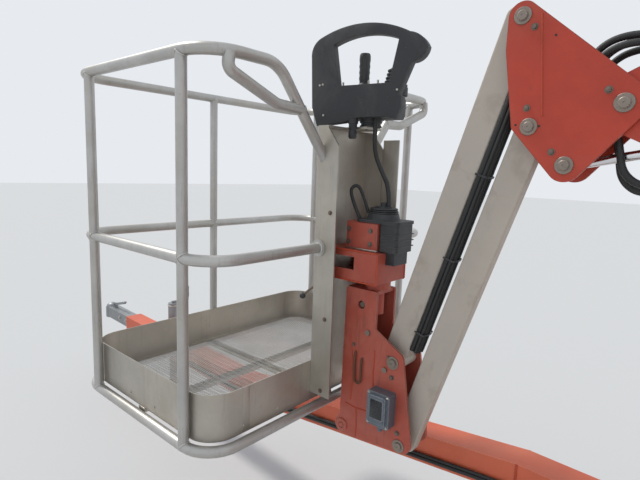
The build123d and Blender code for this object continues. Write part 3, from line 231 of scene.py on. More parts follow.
MIXES = {
    "orange_paint": mix((0.56, 0.080, 0.028), (0.28, 0.10, 0.06), 0.25, 4, 0.42,
                        edge=(PRIMER, 0.8), dust=((0.50, 0.17, 0.10), 0.4)),
    "knuckle_orange": mix((0.52, 0.050, 0.022), (0.24, 0.06, 0.035), 0.2, 6, 0.45,
                          edge=(PRIMER, 1.0), dust=((0.46, 0.085, 0.050), 0.45)),
    "faded_orange": mix((0.45, 0.082, 0.050), (0.22, 0.09, 0.065), 0.3, 8, 0.52,
                        edge=((0.34, 0.20, 0.15), 0.9), dust=((0.50, 0.17, 0.12), 0.6),
                        streaks=((0.20, 0.07, 0.05), 0.5, (60, 60, 7))),
    # The drawbar's edge colour, lighter than its paint, is a painted highlight along its edges.
    "drawbar_orange": mix((0.68, 0.120, 0.052), (0.48, 0.18, 0.11), 0.2, 3, 0.45,
                          edge=((0.80, 0.30, 0.16), 0.7), dust=((0.62, 0.20, 0.10), 0.5)),
    "frame_paint": mix((0.030, 0.031, 0.033), (0.16, 0.15, 0.14), 0.3, 5, 0.5,
                       edge=((0.17, 0.15, 0.13), 0.7), dust=((0.15, 0.14, 0.125), 0.5)),
    "boom_paint": mix((0.64, 0.61, 0.55), (0.40, 0.36, 0.31), 0.2, 3, 0.42,
                      edge=((0.34, 0.29, 0.24), 0.8), dust=((0.50, 0.46, 0.39), 0.5)),
    "jib_metal": mix((0.50, 0.44, 0.375), (0.33, 0.28, 0.23), 0.14, 4, 0.5, 0.1,
                     edge=((0.30, 0.24, 0.19), 0.6), edge_size=0.003, shade=0.92,
                     dust=((0.42, 0.36, 0.29), 0.4),
                     streaks=((0.30, 0.25, 0.20), 0.35, (40, 9, 9))),
    "basket_aluminium": mix((0.53, 0.52, 0.50), (0.36, 0.33, 0.285), 0.35, 7, 0.42, 0.85, 0.08,
                            160.0, dust=((0.42, 0.39, 0.33), 0.6),
                            streaks=((0.36, 0.34, 0.31), 0.4, (90, 90, 6))),
    "plate_aluminium": mix((0.52, 0.485, 0.43), (0.36, 0.31, 0.25), 0.3, 5, 0.42, 0.75, 0.08,
                           130.0, dust=((0.40, 0.36, 0.29), 0.7),
                           streaks=((0.34, 0.31, 0.27), 0.35, (70, 70, 5))),
    "hood_cover": mix((0.62, 0.085, 0.020), (0.45, 0.16, 0.08), 0.15, 3, 0.3, coat=0.3,
                      dust=((0.55, 0.22, 0.12), 0.4)),
    "black_plastic": mix((0.030, 0.031, 0.034), (0.11, 0.11, 0.11), 0.35, 9, 0.5, 0.0, 0.35,
                         420.0, edge=((0.12, 0.12, 0.12), 0.5), edge_size=0.005,
                         dust=((0.09, 0.088, 0.083), 0.6)),
    "barrel_paint": mix((0.03, 0.03, 0.032), (0.15, 0.14, 0.13), 0.3, 9, 0.45,
                        edge=((0.15, 0.13, 0.11), 0.7)),
    "chrome_rod": mix((0.75, 0.75, 0.76), (0.55, 0.55, 0.55), 0.1, 9, 0.12, 1.0, 0.02),
    "pin_steel": mix((0.30, 0.25, 0.21), (0.12, 0.07, 0.045), 0.5, 30, 0.45, 0.8,
                     edge=((0.50, 0.46, 0.42), 0.7), edge_size=0.002),
    "bolt_steel": mix((0.22, 0.17, 0.14), (0.09, 0.05, 0.03), 0.6, 60, 0.5, 0.7),
    "zinc_steel": mix((0.55, 0.53, 0.48), (0.30, 0.25, 0.18), 0.35, 40, 0.35, 0.9),
    "coupler_steel": mix((0.30, 0.31, 0.32), (0.20, 0.13, 0.09), 0.5, 12, 0.45, 0.7,
                         edge=((0.45, 0.44, 0.42), 0.6)),
    "outlet_grey": mix((0.15, 0.17, 0.20), (0.28, 0.28, 0.28), 0.4, 14, 0.45, 0.4,
                       edge=((0.42, 0.42, 0.41), 0.8), edge_size=0.003),
    "dark_window": mix((0.018, 0.020, 0.024), (0.08, 0.08, 0.08), 0.3, 30, 0.25),
    "tyre_rubber": mix((0.022, 0.022, 0.022), (0.10, 0.09, 0.08), 0.5, 5, 0.8, 0.0, 0.4, 300.0,
                       dust=((0.12, 0.11, 0.095), 0.7)),
    "wheel_steel": mix((0.70, 0.70, 0.68), (0.40, 0.36, 0.32), 0.3, 8, 0.4,
                       edge=((0.35, 0.30, 0.26), 0.7)),
    "lamp_red": mix((0.45, 0.01, 0.008), (0.30, 0.02, 0.02), 0.1, 20, 0.15, coat=0.5),
    "knob_red": mix((0.52, 0.012, 0.010), (0.30, 0.03, 0.02), 0.2, 40, 0.3),
    "hose_rubber": mix((0.020, 0.020, 0.020), (0.09, 0.085, 0.08), 0.4, 20, 0.5, 0.0, 0.3,
                       500.0),
    "weld_orange": mix((0.50, 0.065, 0.022), (0.22, 0.07, 0.04), 0.4, 30, 0.45),
    "weld_bright": mix((0.60, 0.59, 0.56), (0.35, 0.33, 0.30), 0.4, 40, 0.35, 0.85),
    "rust_rod": mix((0.17, 0.075, 0.042), (0.07, 0.032, 0.02), 0.6, 50, 0.7, 0.3),
}
FINISHES = {name: finish(name, *numbers, **extras)
            for name, (numbers, extras) in MIXES.items()}
OWN_FINISH = {
    "knuckle": "knuckle_orange", "fly_tip": "knuckle_orange",
    "platform_bracket": "faded_orange", "rotator_support": "faded_orange",
    "drawbar": "drawbar_orange", "toe_board": "plate_aluminium", "mast": "plate_aluminium",
}
slots = {entry["node"]: entry["material_slot"] for entry in frame["record"]["subparts"]}
for name, node in nodes.items():
    node.data.materials.clear()
    node.data.materials.append(FINISHES[OWN_FINISH.get(name, slots[name])])
print("finishes:", len(FINISHES))

# %% [markdown]
# New pieces go in by one door: the mesh is moved to its place, so that its object stays at
# the origin, smooth shading is kept only across shallow edges, and the piece rides on its
# body. A piece that Geometry Nodes grow brings its finish along. Turned pieces are drawn in
# millimetres, as radius and height.

# %% Helpers for pieces
SMOOTH_UNDER = math.radians(38)
MERGE_WITHIN = 1e-6
MM = 1000


def joined(meshes):
    """One mesh from several."""
    work = bmesh.new()
    for mesh in meshes:
        work.from_mesh(mesh)
    whole = bpy.data.meshes.new("piece")
    work.to_mesh(whole)
    work.free()
    return whole


def install(name, shape, site, coat=None):
    """Puts a mesh, or several as one, in the machine, on its body, with its finish."""
    place, body = site
    mesh = shape if isinstance(shape, bpy.types.Mesh) else joined(shape)
    mesh.transform(place)
    thing = show(name, mesh)
    if coat:
        mesh.materials.clear()
        mesh.materials.append(FINISHES[coat])
    mesh.shade_smooth()
    mesh.set_sharp_from_angle(angle=SMOOTH_UNDER)
    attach(thing, body)
    return thing


def from_bmesh(work, merge=True):
    """A mesh from a bmesh, with its faces turned outwards."""
    if merge:
        bmesh.ops.remove_doubles(work, verts=work.verts, dist=MERGE_WITHIN)
    bmesh.ops.recalc_face_normals(work, faces=work.faces)
    mesh = bpy.data.meshes.new("piece")
    work.to_mesh(mesh)
    work.free()
    return mesh


def around(count, closed=0):
    """Cosine and sine of even steps round a circle, with the first again if it is closed."""
    return [(math.cos(a), math.sin(a))
            for a in (2 * math.pi * k / count for k in range(count + closed))]


def bridge(work, rings):
    """Faces between neighbouring rings; a ring of one point is a pole."""
    for low, high in zip(rings, rings[1:]):
        count = max(len(low), len(high))
        for k in range(count):
            after = (k + 1) % count
            corners = [low[k % len(low)], low[after % len(low)],
                       high[after % len(high)], high[k % len(high)]]
            work.faces.new(list(dict.fromkeys(corners)))


def bevel(work, edges, size, segments=2):
    """Rounds edges over."""
    bmesh.ops.bevel(work, geom=edges, offset=size, segments=segments, profile=0.5,
                    affect="EDGES", clamp_overlap=True)


def sharper(work, degrees):
    """The edges whose faces meet at more than an angle."""
    return [edge for edge in work.edges if len(edge.link_faces) == 2
            and edge.calc_face_angle() > math.radians(degrees)]


def lathe(profile, at, axis, steps=24):
    """A turned piece: (radius, height) in millimetres, spun round an axis from a place."""
    work = bmesh.new()
    turn = Vector(axis).normalized().to_track_quat("Z", "Y").to_matrix().to_4x4()
    rings = []
    for radius, height in profile:
        radius, height = radius / MM, height / MM
        rings.append([work.verts.new((radius * c, radius * s, height))
                      for c, s in (around(steps) if radius > MERGE_WITHIN else [(0, 0)])])
    bridge(work, rings)
    for ring in (rings[0], rings[-1]):
        if len(ring) > 1:
            work.faces.new(ring)
    mesh = from_bmesh(work)
    mesh.transform(Matrix.Translation(at) @ turn)
    return mesh


def rounded_plate(low, high, radius):
    """A block between two corners with its edges rounded over."""
    work = bmesh.new()
    bmesh.ops.create_cube(work, size=1)
    size = Vector(high) - Vector(low)
    bmesh.ops.scale(work, vec=size, verts=work.verts)
    bevel(work, work.edges[:], min(radius, 0.45 * min(size)))
    bmesh.ops.translate(work, vec=(Vector(high) + Vector(low)) / 2, verts=work.verts)
    return from_bmesh(work)


def prism(outline, y0, y1, soft):
    """A block with an outline in X and Z between two Y places, its edges rounded."""
    work = bmesh.new()
    rings = [[work.verts.new((x, y, z)) for x, z in outline] for y in (y0, y1)]
    for ring in rings:
        work.faces.new(ring)
    bridge(work, rings)
    bmesh.ops.recalc_face_normals(work, faces=work.faces)
    if soft:
        bevel(work, sharper(work, 40), soft)
    return from_bmesh(work)


def nurbs(name, points, resolution):
    """A smooth curve that a route's points control."""
    data = bpy.data.curves.new(name, "CURVE")
    data.dimensions = "3D"
    spline = data.splines.new("NURBS")
    spline.points.add(len(points) - 1)
    for spot, point in zip(spline.points, points):
        spot.co = (*point, 1)
    spline.order_u = 3
    spline.use_endpoint_u = True
    spline.resolution_u = resolution
    return data


def smooth_line(points):
    """Points along the smooth curve that a route's points control."""
    holder = bpy.data.objects.new("line", nurbs("line", points, 8))
    mesh = bpy.data.meshes.new_from_object(holder)
    places = [vertex.co.copy() for vertex in mesh.vertices]
    bpy.data.objects.remove(holder)
    bpy.data.meshes.remove(mesh)
    return places


def rod_along(points, radius, sides=10, smooth=True):
    """A round rod along a route, both ends capped, also where they meet in a loop."""
    line = smooth_line(points) if smooth else [Vector(point) for point in points]
    work = bmesh.new()
    side = Vector((0, 0, 1))
    rings = []
    for index, spot in enumerate(line):
        before = line[max(index - 1, 0)]
        after = line[min(index + 1, len(line) - 1)]
        run = (after - before).normalized()
        if abs(run.dot(side)) > 0.98:
            side = Vector((0, 1, 0)) if abs(run.y) < 0.9 else Vector((1, 0, 0))
        side = (side - run * side.dot(run)).normalized()
        other = run.cross(side)
        rings.append([work.verts.new(spot + radius * (c * side + s * other))
                      for c, s in around(sides)])
    bridge(work, rings)
    work.faces.new(rings[0])
    work.faces.new(rings[-1])
    return from_bmesh(work, merge=False)


def on_sides(places, out):
    """Points on both sides of the machine's middle, facing out."""
    return [((side * out, y, z), (side, 0, 0)) for y, z in places for side in SIDES]


print("helpers are ready")

# %% [markdown]
# A large soft sky and one broad sun from high behind the machine give the open-air light
# of a yard at noon: near sides in even shade, tops bright, shadows towards the viewer.
# Camera, mirror and glass rays see a plain pale background instead of the softer sky, so
# the picture stays clean and bare metal has something bright to reflect. The floor is a
# wide pale plane that keeps the machine's shadow.

# %% Light, sky and floor
world = bpy.data.worlds.new("studio")
bpy.context.scene.world = world
world.use_nodes = True
sky = world.node_tree
sky.nodes.clear()
soft_sky = wired(sky, "ShaderNodeBackground", {"Color": (0.86, 0.92, 1.0, 1), "Strength": 0.80})
plain_sky = wired(sky, "ShaderNodeBackground", {"Color": (0.80, 0.83, 0.87, 1)})
rays = sky.nodes.new("ShaderNodeLightPath").outputs
seen = rays["Is Camera Ray"]
for kind in ("Is Glossy Ray", "Is Transmission Ray"):
    seen = wired(sky, "ShaderNodeMath", {0: seen, 1: rays[kind]}, operation="MAXIMUM")
pick = wired(sky, "ShaderNodeMixShader", {0: seen, 1: soft_sky, 2: plain_sky})
wired(sky, "ShaderNodeOutputWorld", {0: pick})

SUN_FROM = Vector((-0.10, 0.62, 0.78))
sun_data = bpy.data.lights.new("sun", "SUN")
sun_data.energy = 2.0
sun_data.angle = math.radians(9)
sun_data.color = (1.0, 0.97, 0.92)
sun = show("sun", sun_data)
sun.rotation_euler = SUN_FROM.to_track_quat("Z", "Y").to_euler()
bpy.context.scene.view_settings.view_transform = "Standard"

FLOOR_HALF = 40
floor_work = bmesh.new()
bmesh.ops.create_grid(floor_work, x_segments=1, y_segments=1, size=FLOOR_HALF)
floor_mesh = bpy.data.meshes.new("floor")
floor_work.to_mesh(floor_mesh)
floor_work.free()
floor = show("floor", floor_mesh)
floor_paint = bpy.data.materials.new("floor_paint")
floor_paint.use_nodes = True
floor_shader = floor_paint.node_tree.nodes["Principled BSDF"].inputs
for label, value in (("Base Color", (0.58, 0.58, 0.575, 1)), ("Roughness", 0.95),
                     ("Specular IOR Level", 0.1)):
    floor_shader[label].default_value = value
floor.data.materials.append(floor_paint)
print("lights and floor are set")

# %% [markdown]
# Two cords stand at the platform. The console's lead leaves its plug and hangs to the valve
# housing; a second, thinner one stands in a tight loop over the housing. Each is a smooth
# curve through a few control points, thick as the real rubber. They stand for the frame's
# plain cable.

# %% Cords of the platform
LEAD_ROUTE = [(-0.030, -0.141, 1.0357), (-0.030, -0.139, 0.970), (-0.012, -0.134, 0.915),
              (-0.002, -0.158, 0.858), (0.002, -0.188, 0.806), (0.002, -0.190, 0.7383)]
LOOP_ROUTE = [(-0.044, -0.103, 0.6985), (-0.050, -0.078, 0.750), (-0.046, -0.058, 0.800),
              (-0.026, -0.080, 0.814), (-0.017, -0.100, 0.765), (-0.016, -0.1205, 0.7165)]
CORDS = {"console_lead": (LEAD_ROUTE, 0.008), "valve_loop": (LOOP_ROUTE, 0.006)}


def run_length(places):
    """The length of a line of points."""
    return sum((b - a).length for a, b in zip(places, places[1:]))


for name, (route, radius) in CORDS.items():
    curve = nurbs(name, [PLATFORM @ Vector(point) for point in route], 10)
    curve.bevel_depth = radius
    curve.bevel_resolution = 3
    curve.use_fill_caps = True
    curve.materials.append(FINISHES["hose_rubber"])
    cord = show(name, curve)
    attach(cord, "platform")
    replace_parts(cord, "platform_cable")
    length = run_length(smooth_line(route))
    PLATFORM @ Vector(route[0])
    print(name, "length", round(length, 3))

# %% [markdown]
# Hydraulic hoses leave the end of the fly boom, loop over the knuckle and dive between its
# plates; others hang under the boom pin. The knuckle turns on the boom, so a hose that joins
# both has to bend with the joint. Each hose is a mesh tube round its own smooth line, and
# rides on no body.

# %% Hoses at the knuckle
HOSE_R = 0.009
OVER = [(-1.075, 1.125), (-1.01, 1.165), (-0.93, 1.180), (-0.86, 1.195), (-0.80, 1.180),
        (-0.765, 1.130), (-0.735, 1.085)]
UNDER = [(-0.800, 1.000), (-0.838, 0.985), (-0.852, 0.930), (-0.862, 0.875), (-0.905, 0.842),
         (-0.960, 0.862), (-1.000, 0.925), (-1.000, 0.975)]
OVER_SHIFTS = [(-0.030, 0.0, -0.016), (-0.012, 0.012, 0.006), (0.009, -0.004, -0.004),
               (0.029, -0.014, -0.020)]
HOSES = {"over_%d" % number: [(x, y + dy, z + dz) for y, z in OVER]
         for number, (x, dy, dz) in enumerate(OVER_SHIFTS, 1)}
HOSES["under_1"] = [(-0.0265, y, z) for y, z in UNDER]
HOSES["under_2"] = [(0.0260, y + 0.008, z - 0.018 if z < 0.95 else z) for y, z in UNDER]
for name, route in HOSES.items():
    line = smooth_line(route)
    tube = rod_along(route, HOSE_R, 12)
    tube.transform(PLATFORM)
    tube.materials.append(FINISHES["hose_rubber"])
    tube.shade_smooth()
    hose = show("knuckle_hose_" + name, tube)
    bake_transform(hose)
    PLATFORM @ Vector(route[0])
    run_length(line)
    print("hose", name, round(run_length(line), 3))

# %% [markdown]
# Fasteners, weld beads, mesh and tread repeat by the hundred, so Geometry Nodes make them.
# A small class keeps the wiring short. Each tree takes its sizes as named inputs and ends by
# making its instances real and giving them their finish.

# %% Patterns kit


class Pattern:
    """A Geometry Nodes tree with named inputs."""

    def __init__(self, name, numbers, counts=()):
        self.tree = bpy.data.node_groups.new(name, "GeometryNodeTree")
        kinds = [("Geometry", "NodeSocketGeometry")]
        kinds += [(label, "NodeSocketFloat") for label in numbers]
        kinds += [(label, "NodeSocketInt") for label in counts]
        for label, kind in kinds + [("finish", "NodeSocketMaterial")]:
            self.tree.interface.new_socket(label, in_out="INPUT", socket_type=kind)
        self.tree.interface.new_socket("Geometry", in_out="OUTPUT",
                                       socket_type="NodeSocketGeometry")
        self.source = self.tree.nodes.new("NodeGroupInput").outputs

    def add(self, kind, inputs=None, out=0, **settings):
        """A node with its settings and inputs; gives one of its outputs."""
        return wired(self.tree, kind, inputs, out, **settings)

    def field(self, label):
        """A vector that each point of the seed mesh carries."""
        return self.add("GeometryNodeInputNamedAttribute", {"Name": label}, "Attribute",
                        data_type="FLOAT_VECTOR")

    def raised(self, shape, factor):
        """A shape lifted by a share of the height."""
        lift = self.add("ShaderNodeMath", {0: self.source["height"], 1: factor},
                        operation="MULTIPLY")
        up = self.add("ShaderNodeCombineXYZ", {"Z": lift})
        return self.add("GeometryNodeTransform", {"Geometry": shape, "Translation": up})

    def plant(self, shape, rotation=None):
        """A shape on every point of the seed mesh, and the end of the tree."""
        inputs = {"Points": self.source["Geometry"], "Instance": shape}
        if rotation:
            inputs["Rotation"] = rotation
        self.close(self.add("GeometryNodeInstanceOnPoints", inputs))

    def close(self, geometry):
        """Realize Instances and Set Material, then the output."""
        real = self.add("GeometryNodeRealizeInstances", {"Geometry": geometry})
        coated = self.add("GeometryNodeSetMaterial", {"Geometry": real,
                                                      "Material": self.source["finish"]})
        self.add("NodeGroupOutput", {"Geometry": coated})

    def grow(self, name, seed_mesh, site, coat, slot=None, **sizes):
        """Runs the tree on a mesh and installs what it grows."""
        holder = show(name, seed_mesh)
        modifier = holder.modifiers.new("pattern", "NODES")
        modifier.node_group = self.tree
        sizes["finish"] = FINISHES[coat]
        for item in self.tree.interface.items_tree:
            if item.item_type == "SOCKET" and item.in_out == "INPUT" and item.name in sizes:
                modifier[item.identifier] = sizes[item.name]
        bpy.context.view_layer.update()
        ready = holder.evaluated_get(bpy.context.evaluated_depsgraph_get())
        mesh = bpy.data.meshes.new_from_object(ready)
        holder.modifiers.clear()
        bpy.data.objects.remove(holder)
        return install(name, mesh, site, None)


def spots_mesh(spots, along=()):
    """Points with the way that each one faces, for a tree to plant pieces on."""
    mesh = bpy.data.meshes.new("spots")
    mesh.from_pydata([point for point, _ in spots], [], [])
    for label, ways in (("aim", [way for _, way in spots]), ("along", along)):
        if ways:
            field = mesh.attributes.new(label, "FLOAT_VECTOR", "POINT")
            field.data.foreach_set("vector", [value for way in ways for value in way])
    return mesh


def lines_mesh(lines):
    """Loose edges along several lines."""
    points, edges = [], []
    for line in lines:
        start = len(points)
        points += line
        edges += [(start + k, start + k + 1) for k in range(len(line) - 1)]
    mesh = bpy.data.meshes.new("lines")
    mesh.from_pydata(points, edges, [])
    return mesh


print("patterns kit is ready")

# %% [markdown]
# A hexagon head on a washer is the commonest thing on a machine. The tree plants both on
# every point, facing along the point's own arrow, and turns each head by a random amount,
# as spanners leave them.

# %% Bolt pattern
bolts = Pattern("bolt_heads", ("head", "height", "washer"), ("seed",))
size = bolts.source
stand = bolts.add("FunctionNodeAlignRotationToVector", {"Vector": bolts.field("aim")}, axis="Z")
chance = bolts.add("FunctionNodeRandomValue", {"Seed": size["seed"], 3: math.pi / 3}, 1,
                   data_type="FLOAT")
twist = bolts.add("ShaderNodeCombineXYZ", {"Z": chance})
turn = bolts.add("FunctionNodeEulerToRotation", {"Euler": twist})
facing = bolts.add("FunctionNodeRotateRotation", {"Rotation": stand, "Rotate By": turn},
                   rotation_space="LOCAL")
disc = bolts.add("GeometryNodeMeshCylinder", {"Radius": size["washer"], "Depth": size["height"],
                                              "Vertices": 14}, "Mesh")
flat = bolts.add("GeometryNodeTransform", {"Geometry": disc, "Scale": (1, 1, 0.5)})
hexagon = bolts.add("GeometryNodeMeshCylinder", {"Radius": size["head"],
                                                 "Depth": size["height"], "Vertices": 6}, "Mesh")
crown = bolts.add("GeometryNodeMeshCone", {"Radius Bottom": size["head"], "Vertices": 6,
                                           "Radius Top": 0.002, "Depth": 0.0012}, "Mesh")
parts = [flat, bolts.raised(hexagon, 0.75), bolts.raised(crown, 1.25)]
bolt = bolts.tree.nodes.new("GeometryNodeJoinGeometry")
for part in parts:
    bolts.tree.links.new(part, bolt.inputs[0])
bolts.plant(bolt.outputs[0], facing)


def bolt_row(name, spots, site, head=0.008, coat="bolt_steel", slot="pin_steel"):
    """Bolt heads with washers at points, each facing its own way."""
    return bolts.grow(name, spots_mesh(spots), site, coat, slot, head=head, height=head * 0.7,
                      washer=head * 1.5, seed=3)


print("bolt pattern is ready")

# %% [markdown]
# A weld is a row of overlapping drops. The tree divides a line evenly, swells and shrinks
# the radius from point to point, and sweeps a small circle along it.

# %% Weld pattern
welds = Pattern("weld_beads", ("bead", "pitch"))
path_curve = welds.add("GeometryNodeMeshToCurve", {"Mesh": welds.source["Geometry"]})
even = welds.add("GeometryNodeResampleCurve", {"Curve": path_curve,
                                               "Length": welds.source["pitch"]}, mode="LENGTH")
order = welds.add("GeometryNodeInputIndex")
beat = welds.add("ShaderNodeMath", {0: order, 1: 1.9}, operation="MULTIPLY")
wave = welds.add("ShaderNodeMath", {0: beat}, operation="SINE")
swell = welds.add("ShaderNodeMath", {0: wave, 1: 0.22, 2: 1.0}, operation="MULTIPLY_ADD")
drop = welds.add("GeometryNodeCurvePrimitiveCircle", {"Radius": welds.source["bead"],
                                                      "Resolution": 6})
welds.close(welds.add("GeometryNodeCurveToMesh", {"Curve": even, "Profile Curve": drop,
                                                  "Scale": swell, "Fill Caps": True}))


def weld_line(name, lines, site, bead=0.004, coat="weld_orange", slot="orange_paint"):
    """Weld beads along lines."""
    return welds.grow(name, lines_mesh(lines), site, coat, slot, bead=bead, pitch=bead * 0.8)


def circle_line(at, axis, radius, steps=24):
    """A closed ring of points."""
    turn = Vector(axis).normalized().to_track_quat("Z", "Y").to_matrix()
    return [Vector(at) + turn @ Vector((radius * c, radius * s, 0))
            for c, s in around(steps, 1)]


print("weld pattern is ready")

# %% [markdown]
# The platform's floor is expanded metal: a sheet slit and pulled into diamonds, so rain and
# stones fall through. The tree plants a diamond ring on each point of a lattice whose steps
# are the diamond's own width and height, which shares every corner with its neighbours.
# Two bearers and the sheet's edge carry it.

# %% Platform floor
DIAMOND_W = 0.026
DIAMOND_H = 0.0125
STRAND_R = 0.0017
STRAND_Z = 0.0195
RAIL_HX = 0.6065
RAIL_Y = 0.804
RAIL_CORNER = 0.116
FLOOR_INSET = 0.0205
LATTICE_HALF = 24
LATTICE_ROWS = 65
BEARER_LOW = 0.002
BEARER_TOP = 0.0178
mesh_floor = Pattern("expanded_metal", ("width", "height", "strand"))
size = mesh_floor.source
square = mesh_floor.add("GeometryNodeCurvePrimitiveCircle", {"Resolution": 4, "Radius": 0.5})
spread = mesh_floor.add("ShaderNodeCombineXYZ", {"X": size["width"], "Y": size["height"],
                                                 "Z": 1.0})
diamond = mesh_floor.add("GeometryNodeTransform", {"Geometry": square, "Scale": spread})
wire = mesh_floor.add("GeometryNodeCurvePrimitiveCircle", {"Radius": size["strand"],
                                                           "Resolution": 4})
mesh_floor.plant(mesh_floor.add("GeometryNodeCurveToMesh", {"Curve": diamond,
                                                            "Profile Curve": wire}))


def inside_floor(x, y, inset):
    """True if a place is inside the floor's rounded outline."""
    dx = abs(x) - (RAIL_HX - RAIL_CORNER)
    dy = abs(y - RAIL_Y / 2) - (RAIL_Y / 2 - RAIL_CORNER)
    reach = RAIL_CORNER - inset
    if dx > 0 and dy > 0:
        return math.hypot(dx, dy) < reach
    return max(dx, dy) < reach


lattice = [(column * DIAMOND_W, 0.010 + row * DIAMOND_H)
           for column in range(-LATTICE_HALF, LATTICE_HALF + 1) for row in range(LATTICE_ROWS)]
lattice = [((x, y, STRAND_Z), (0, 0, 1)) for x, y in lattice
           if inside_floor(x, y, FLOOR_INSET + 0.010)]
floor_net = mesh_floor.grow("floor_mesh", spots_mesh(lattice), BASKET, "basket_aluminium",
                            "basket_aluminium", width=DIAMOND_W, height=DIAMOND_H,
                            strand=STRAND_R)
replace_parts(floor_net, "basket_floor")
print("diamonds in the floor:", len(lattice))


def rounded_ring(inset, steps=10):
    """Points round the floor's outline."""
    points = []
    for sx, sy, start in ((1, 1, 0), (-1, 1, 90), (-1, -1, 180), (1, -1, 270)):
        middle = (sx * (RAIL_HX - RAIL_CORNER), RAIL_Y / 2 + sy * (RAIL_Y / 2 - RAIL_CORNER))
        for step in range(steps + 1):
            angle = math.radians(start + 90 * step / steps)
            points.append((middle[0] + (RAIL_CORNER - inset) * math.cos(angle),
                           middle[1] + (RAIL_CORNER - inset) * math.sin(angle)))
    return points


def band(outline_a, outline_b, z0, z1):
    """A flat band between two closed outlines."""
    work = bmesh.new()
    rows = [[work.verts.new((x, y, z)) for x, y in line]
            for line, z in ((outline_a, z0), (outline_a, z1), (outline_b, z1), (outline_b, z0))]
    bridge(work, rows + rows[:1])
    return from_bmesh(work)


bearers = [
    rounded_plate((-0.050, 0.018, BEARER_LOW), (-0.010, RAIL_Y - 0.018, BEARER_TOP), 0.002),
    rounded_plate((-RAIL_HX + 0.018, RAIL_Y / 2 - 0.020, BEARER_LOW),
                  (RAIL_HX - 0.018, RAIL_Y / 2 + 0.020, BEARER_TOP), 0.002),
    band(rounded_ring(FLOOR_INSET), rounded_ring(FLOOR_INSET + 0.016), BEARER_TOP, 0.0212),
]
frame_under = install("floor_bearers", bearers, BASKET, "plate_aluminium")
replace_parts(frame_under, "basket_floor")

# %% [markdown]
# The basket's rails are one gauge of aluminium tube, bent and welded. Each rail is swept along
# straight runs with bends between them, as a tube bender makes it. The grab bar beside the
# mast leaves the top rail by a tight elbow under it, and what meets the mast is cut flush.

# %% Basket rails
TUBE_R = 0.0175
TUBE_SIDES = 20
MID_RAIL_Z = 0.589
TOP_RAIL_Z = 1.170
MAST_X = 0.135


def bent_line(points, bends, steps=8):
    """Straight runs between points, with a round bend of its own radius at each corner."""
    spots = [Vector(point) for point in points]
    line = [spots[0]]
    for before, at, after, bend in zip(spots, spots[1:], spots[2:], bends):
        back, onward = (before - at).normalized(), (after - at).normalized()
        half = back.angle(onward) / 2
        middle = at + (back + onward).normalized() * (bend / math.sin(half))
        start = at + back * (bend / math.tan(half)) - middle
        stop = at + onward * (bend / math.tan(half)) - middle
        line += [middle + bend * start.slerp(stop, step / steps).normalized()
                 for step in range(steps + 1)]
    return line + [spots[-1]]


def tube(points, bends):
    """A rail bent from tube."""
    return rod_along(bent_line(points, bends), TUBE_R, TUBE_SIDES, False)


def flush(mesh):
    """Slides both end rings of a tube along it until they lie on the mast's sides."""
    spots = mesh.vertices
    last = len(spots) - TUBE_SIDES
    for k in range(TUBE_SIDES):
        for end, base in ((k, k + TUBE_SIDES), (last + k, last + k - TUBE_SIDES)):
            run = spots[end].co - spots[base].co
            goal = math.copysign(MAST_X, spots[end].co.x)
            spots[end].co += run * ((goal - spots[end].co.x) / run.x)
    return mesh


def other_side(points):
    """The same route on the other side of the middle."""
    return [(-x, y, z) for x, y, z in points]


def round_the_back(half):
    """A route from the mast round the platform and back, from its left half."""
    return half[::-1] + other_side(half)


top_half = [(-RAIL_HX, RAIL_Y, TOP_RAIL_Z), (-RAIL_HX, 0, TOP_RAIL_Z), (-0.350, 0, TOP_RAIL_Z),
            (-0.140, 0, 0.918)]
mid_half = [(-RAIL_HX, RAIL_Y, MID_RAIL_Z), (-RAIL_HX, 0, MID_RAIL_Z), (-0.150, 0, MID_RAIL_Z)]
low_half = [(-RAIL_HX, RAIL_Y, 0), (-RAIL_HX, 0, 0), (0, 0, 0)]
grab = [(-0.530, 0, TOP_RAIL_Z - 0.006), (-0.540, 0, 1.122), (-0.350, 0, 1.050),
        (-0.236, 0, 1.045)]
corner = [RAIL_CORNER] * 2
rails = [
    flush(tube(round_the_back(top_half), [0.110] + corner * 2 + [0.110])),
    flush(tube(round_the_back(mid_half), corner * 2)),
    tube(round_the_back(low_half), corner * 2),
    tube(grab, [0.026, 0.060]),
    tube(other_side(grab), [0.026, 0.060]),
]
RAIL_FOOT = [(0, 0), (30, 0), (30, 5.5), (0, 5.5)]
rails += [lathe(RAIL_FOOT, at, way) for at, way in on_sides([(0, MID_RAIL_Z)], MAST_X)]
rail_piece = install("bent_rails", rails, BASKET, "basket_aluminium")
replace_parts(rail_piece, "basket_rails")
print("rails:", len(rails))

# %% [markdown]
# Every linkage pin ends in a collar: a machined ring that keeps it from walking out, with a
# keeper bolt beside it. The collars are turned on both sides of the knuckle and the bracket.

# %% Pins, collars and keepers
PLATE_X = 0.060
PIN_END = 0.067
KEEPER = 0.0062
COLLAR = [(14.5, 0), (22.5, 0), (22.5, 2.8), (21.2, 4.2), (14.5, 4.2)]
PIN_FACE = [(0, 0), (12.8, 0), (12.8, 1.4), (11.5, 2.6), (3, 2.6), (2.4, 1), (0, 1)]
PLUG = [(0, 0), (3.2, 0), (3, 0.6), (0, 0.6)]
KNUCKLE_PINS = [(-0.605, 1.270), (-0.645, 0.988), (-0.740, 0.890), (-0.855, 1.036)]
BRACKET_PINS = [(-0.279, 0.228), (-0.319, -0.054)]
KNUCKLE_KEEPERS = [(-0.636, 1.036), (-0.707, 0.923), (-0.820, 1.068), (-0.637, 1.238)]
BRACKET_KEEPERS = [(-0.278, 0.176), (-0.312, -0.011)]
SMALL_HOLES = [(-0.671, 0.989), (-0.611, 0.994), (-0.690, 1.210)]


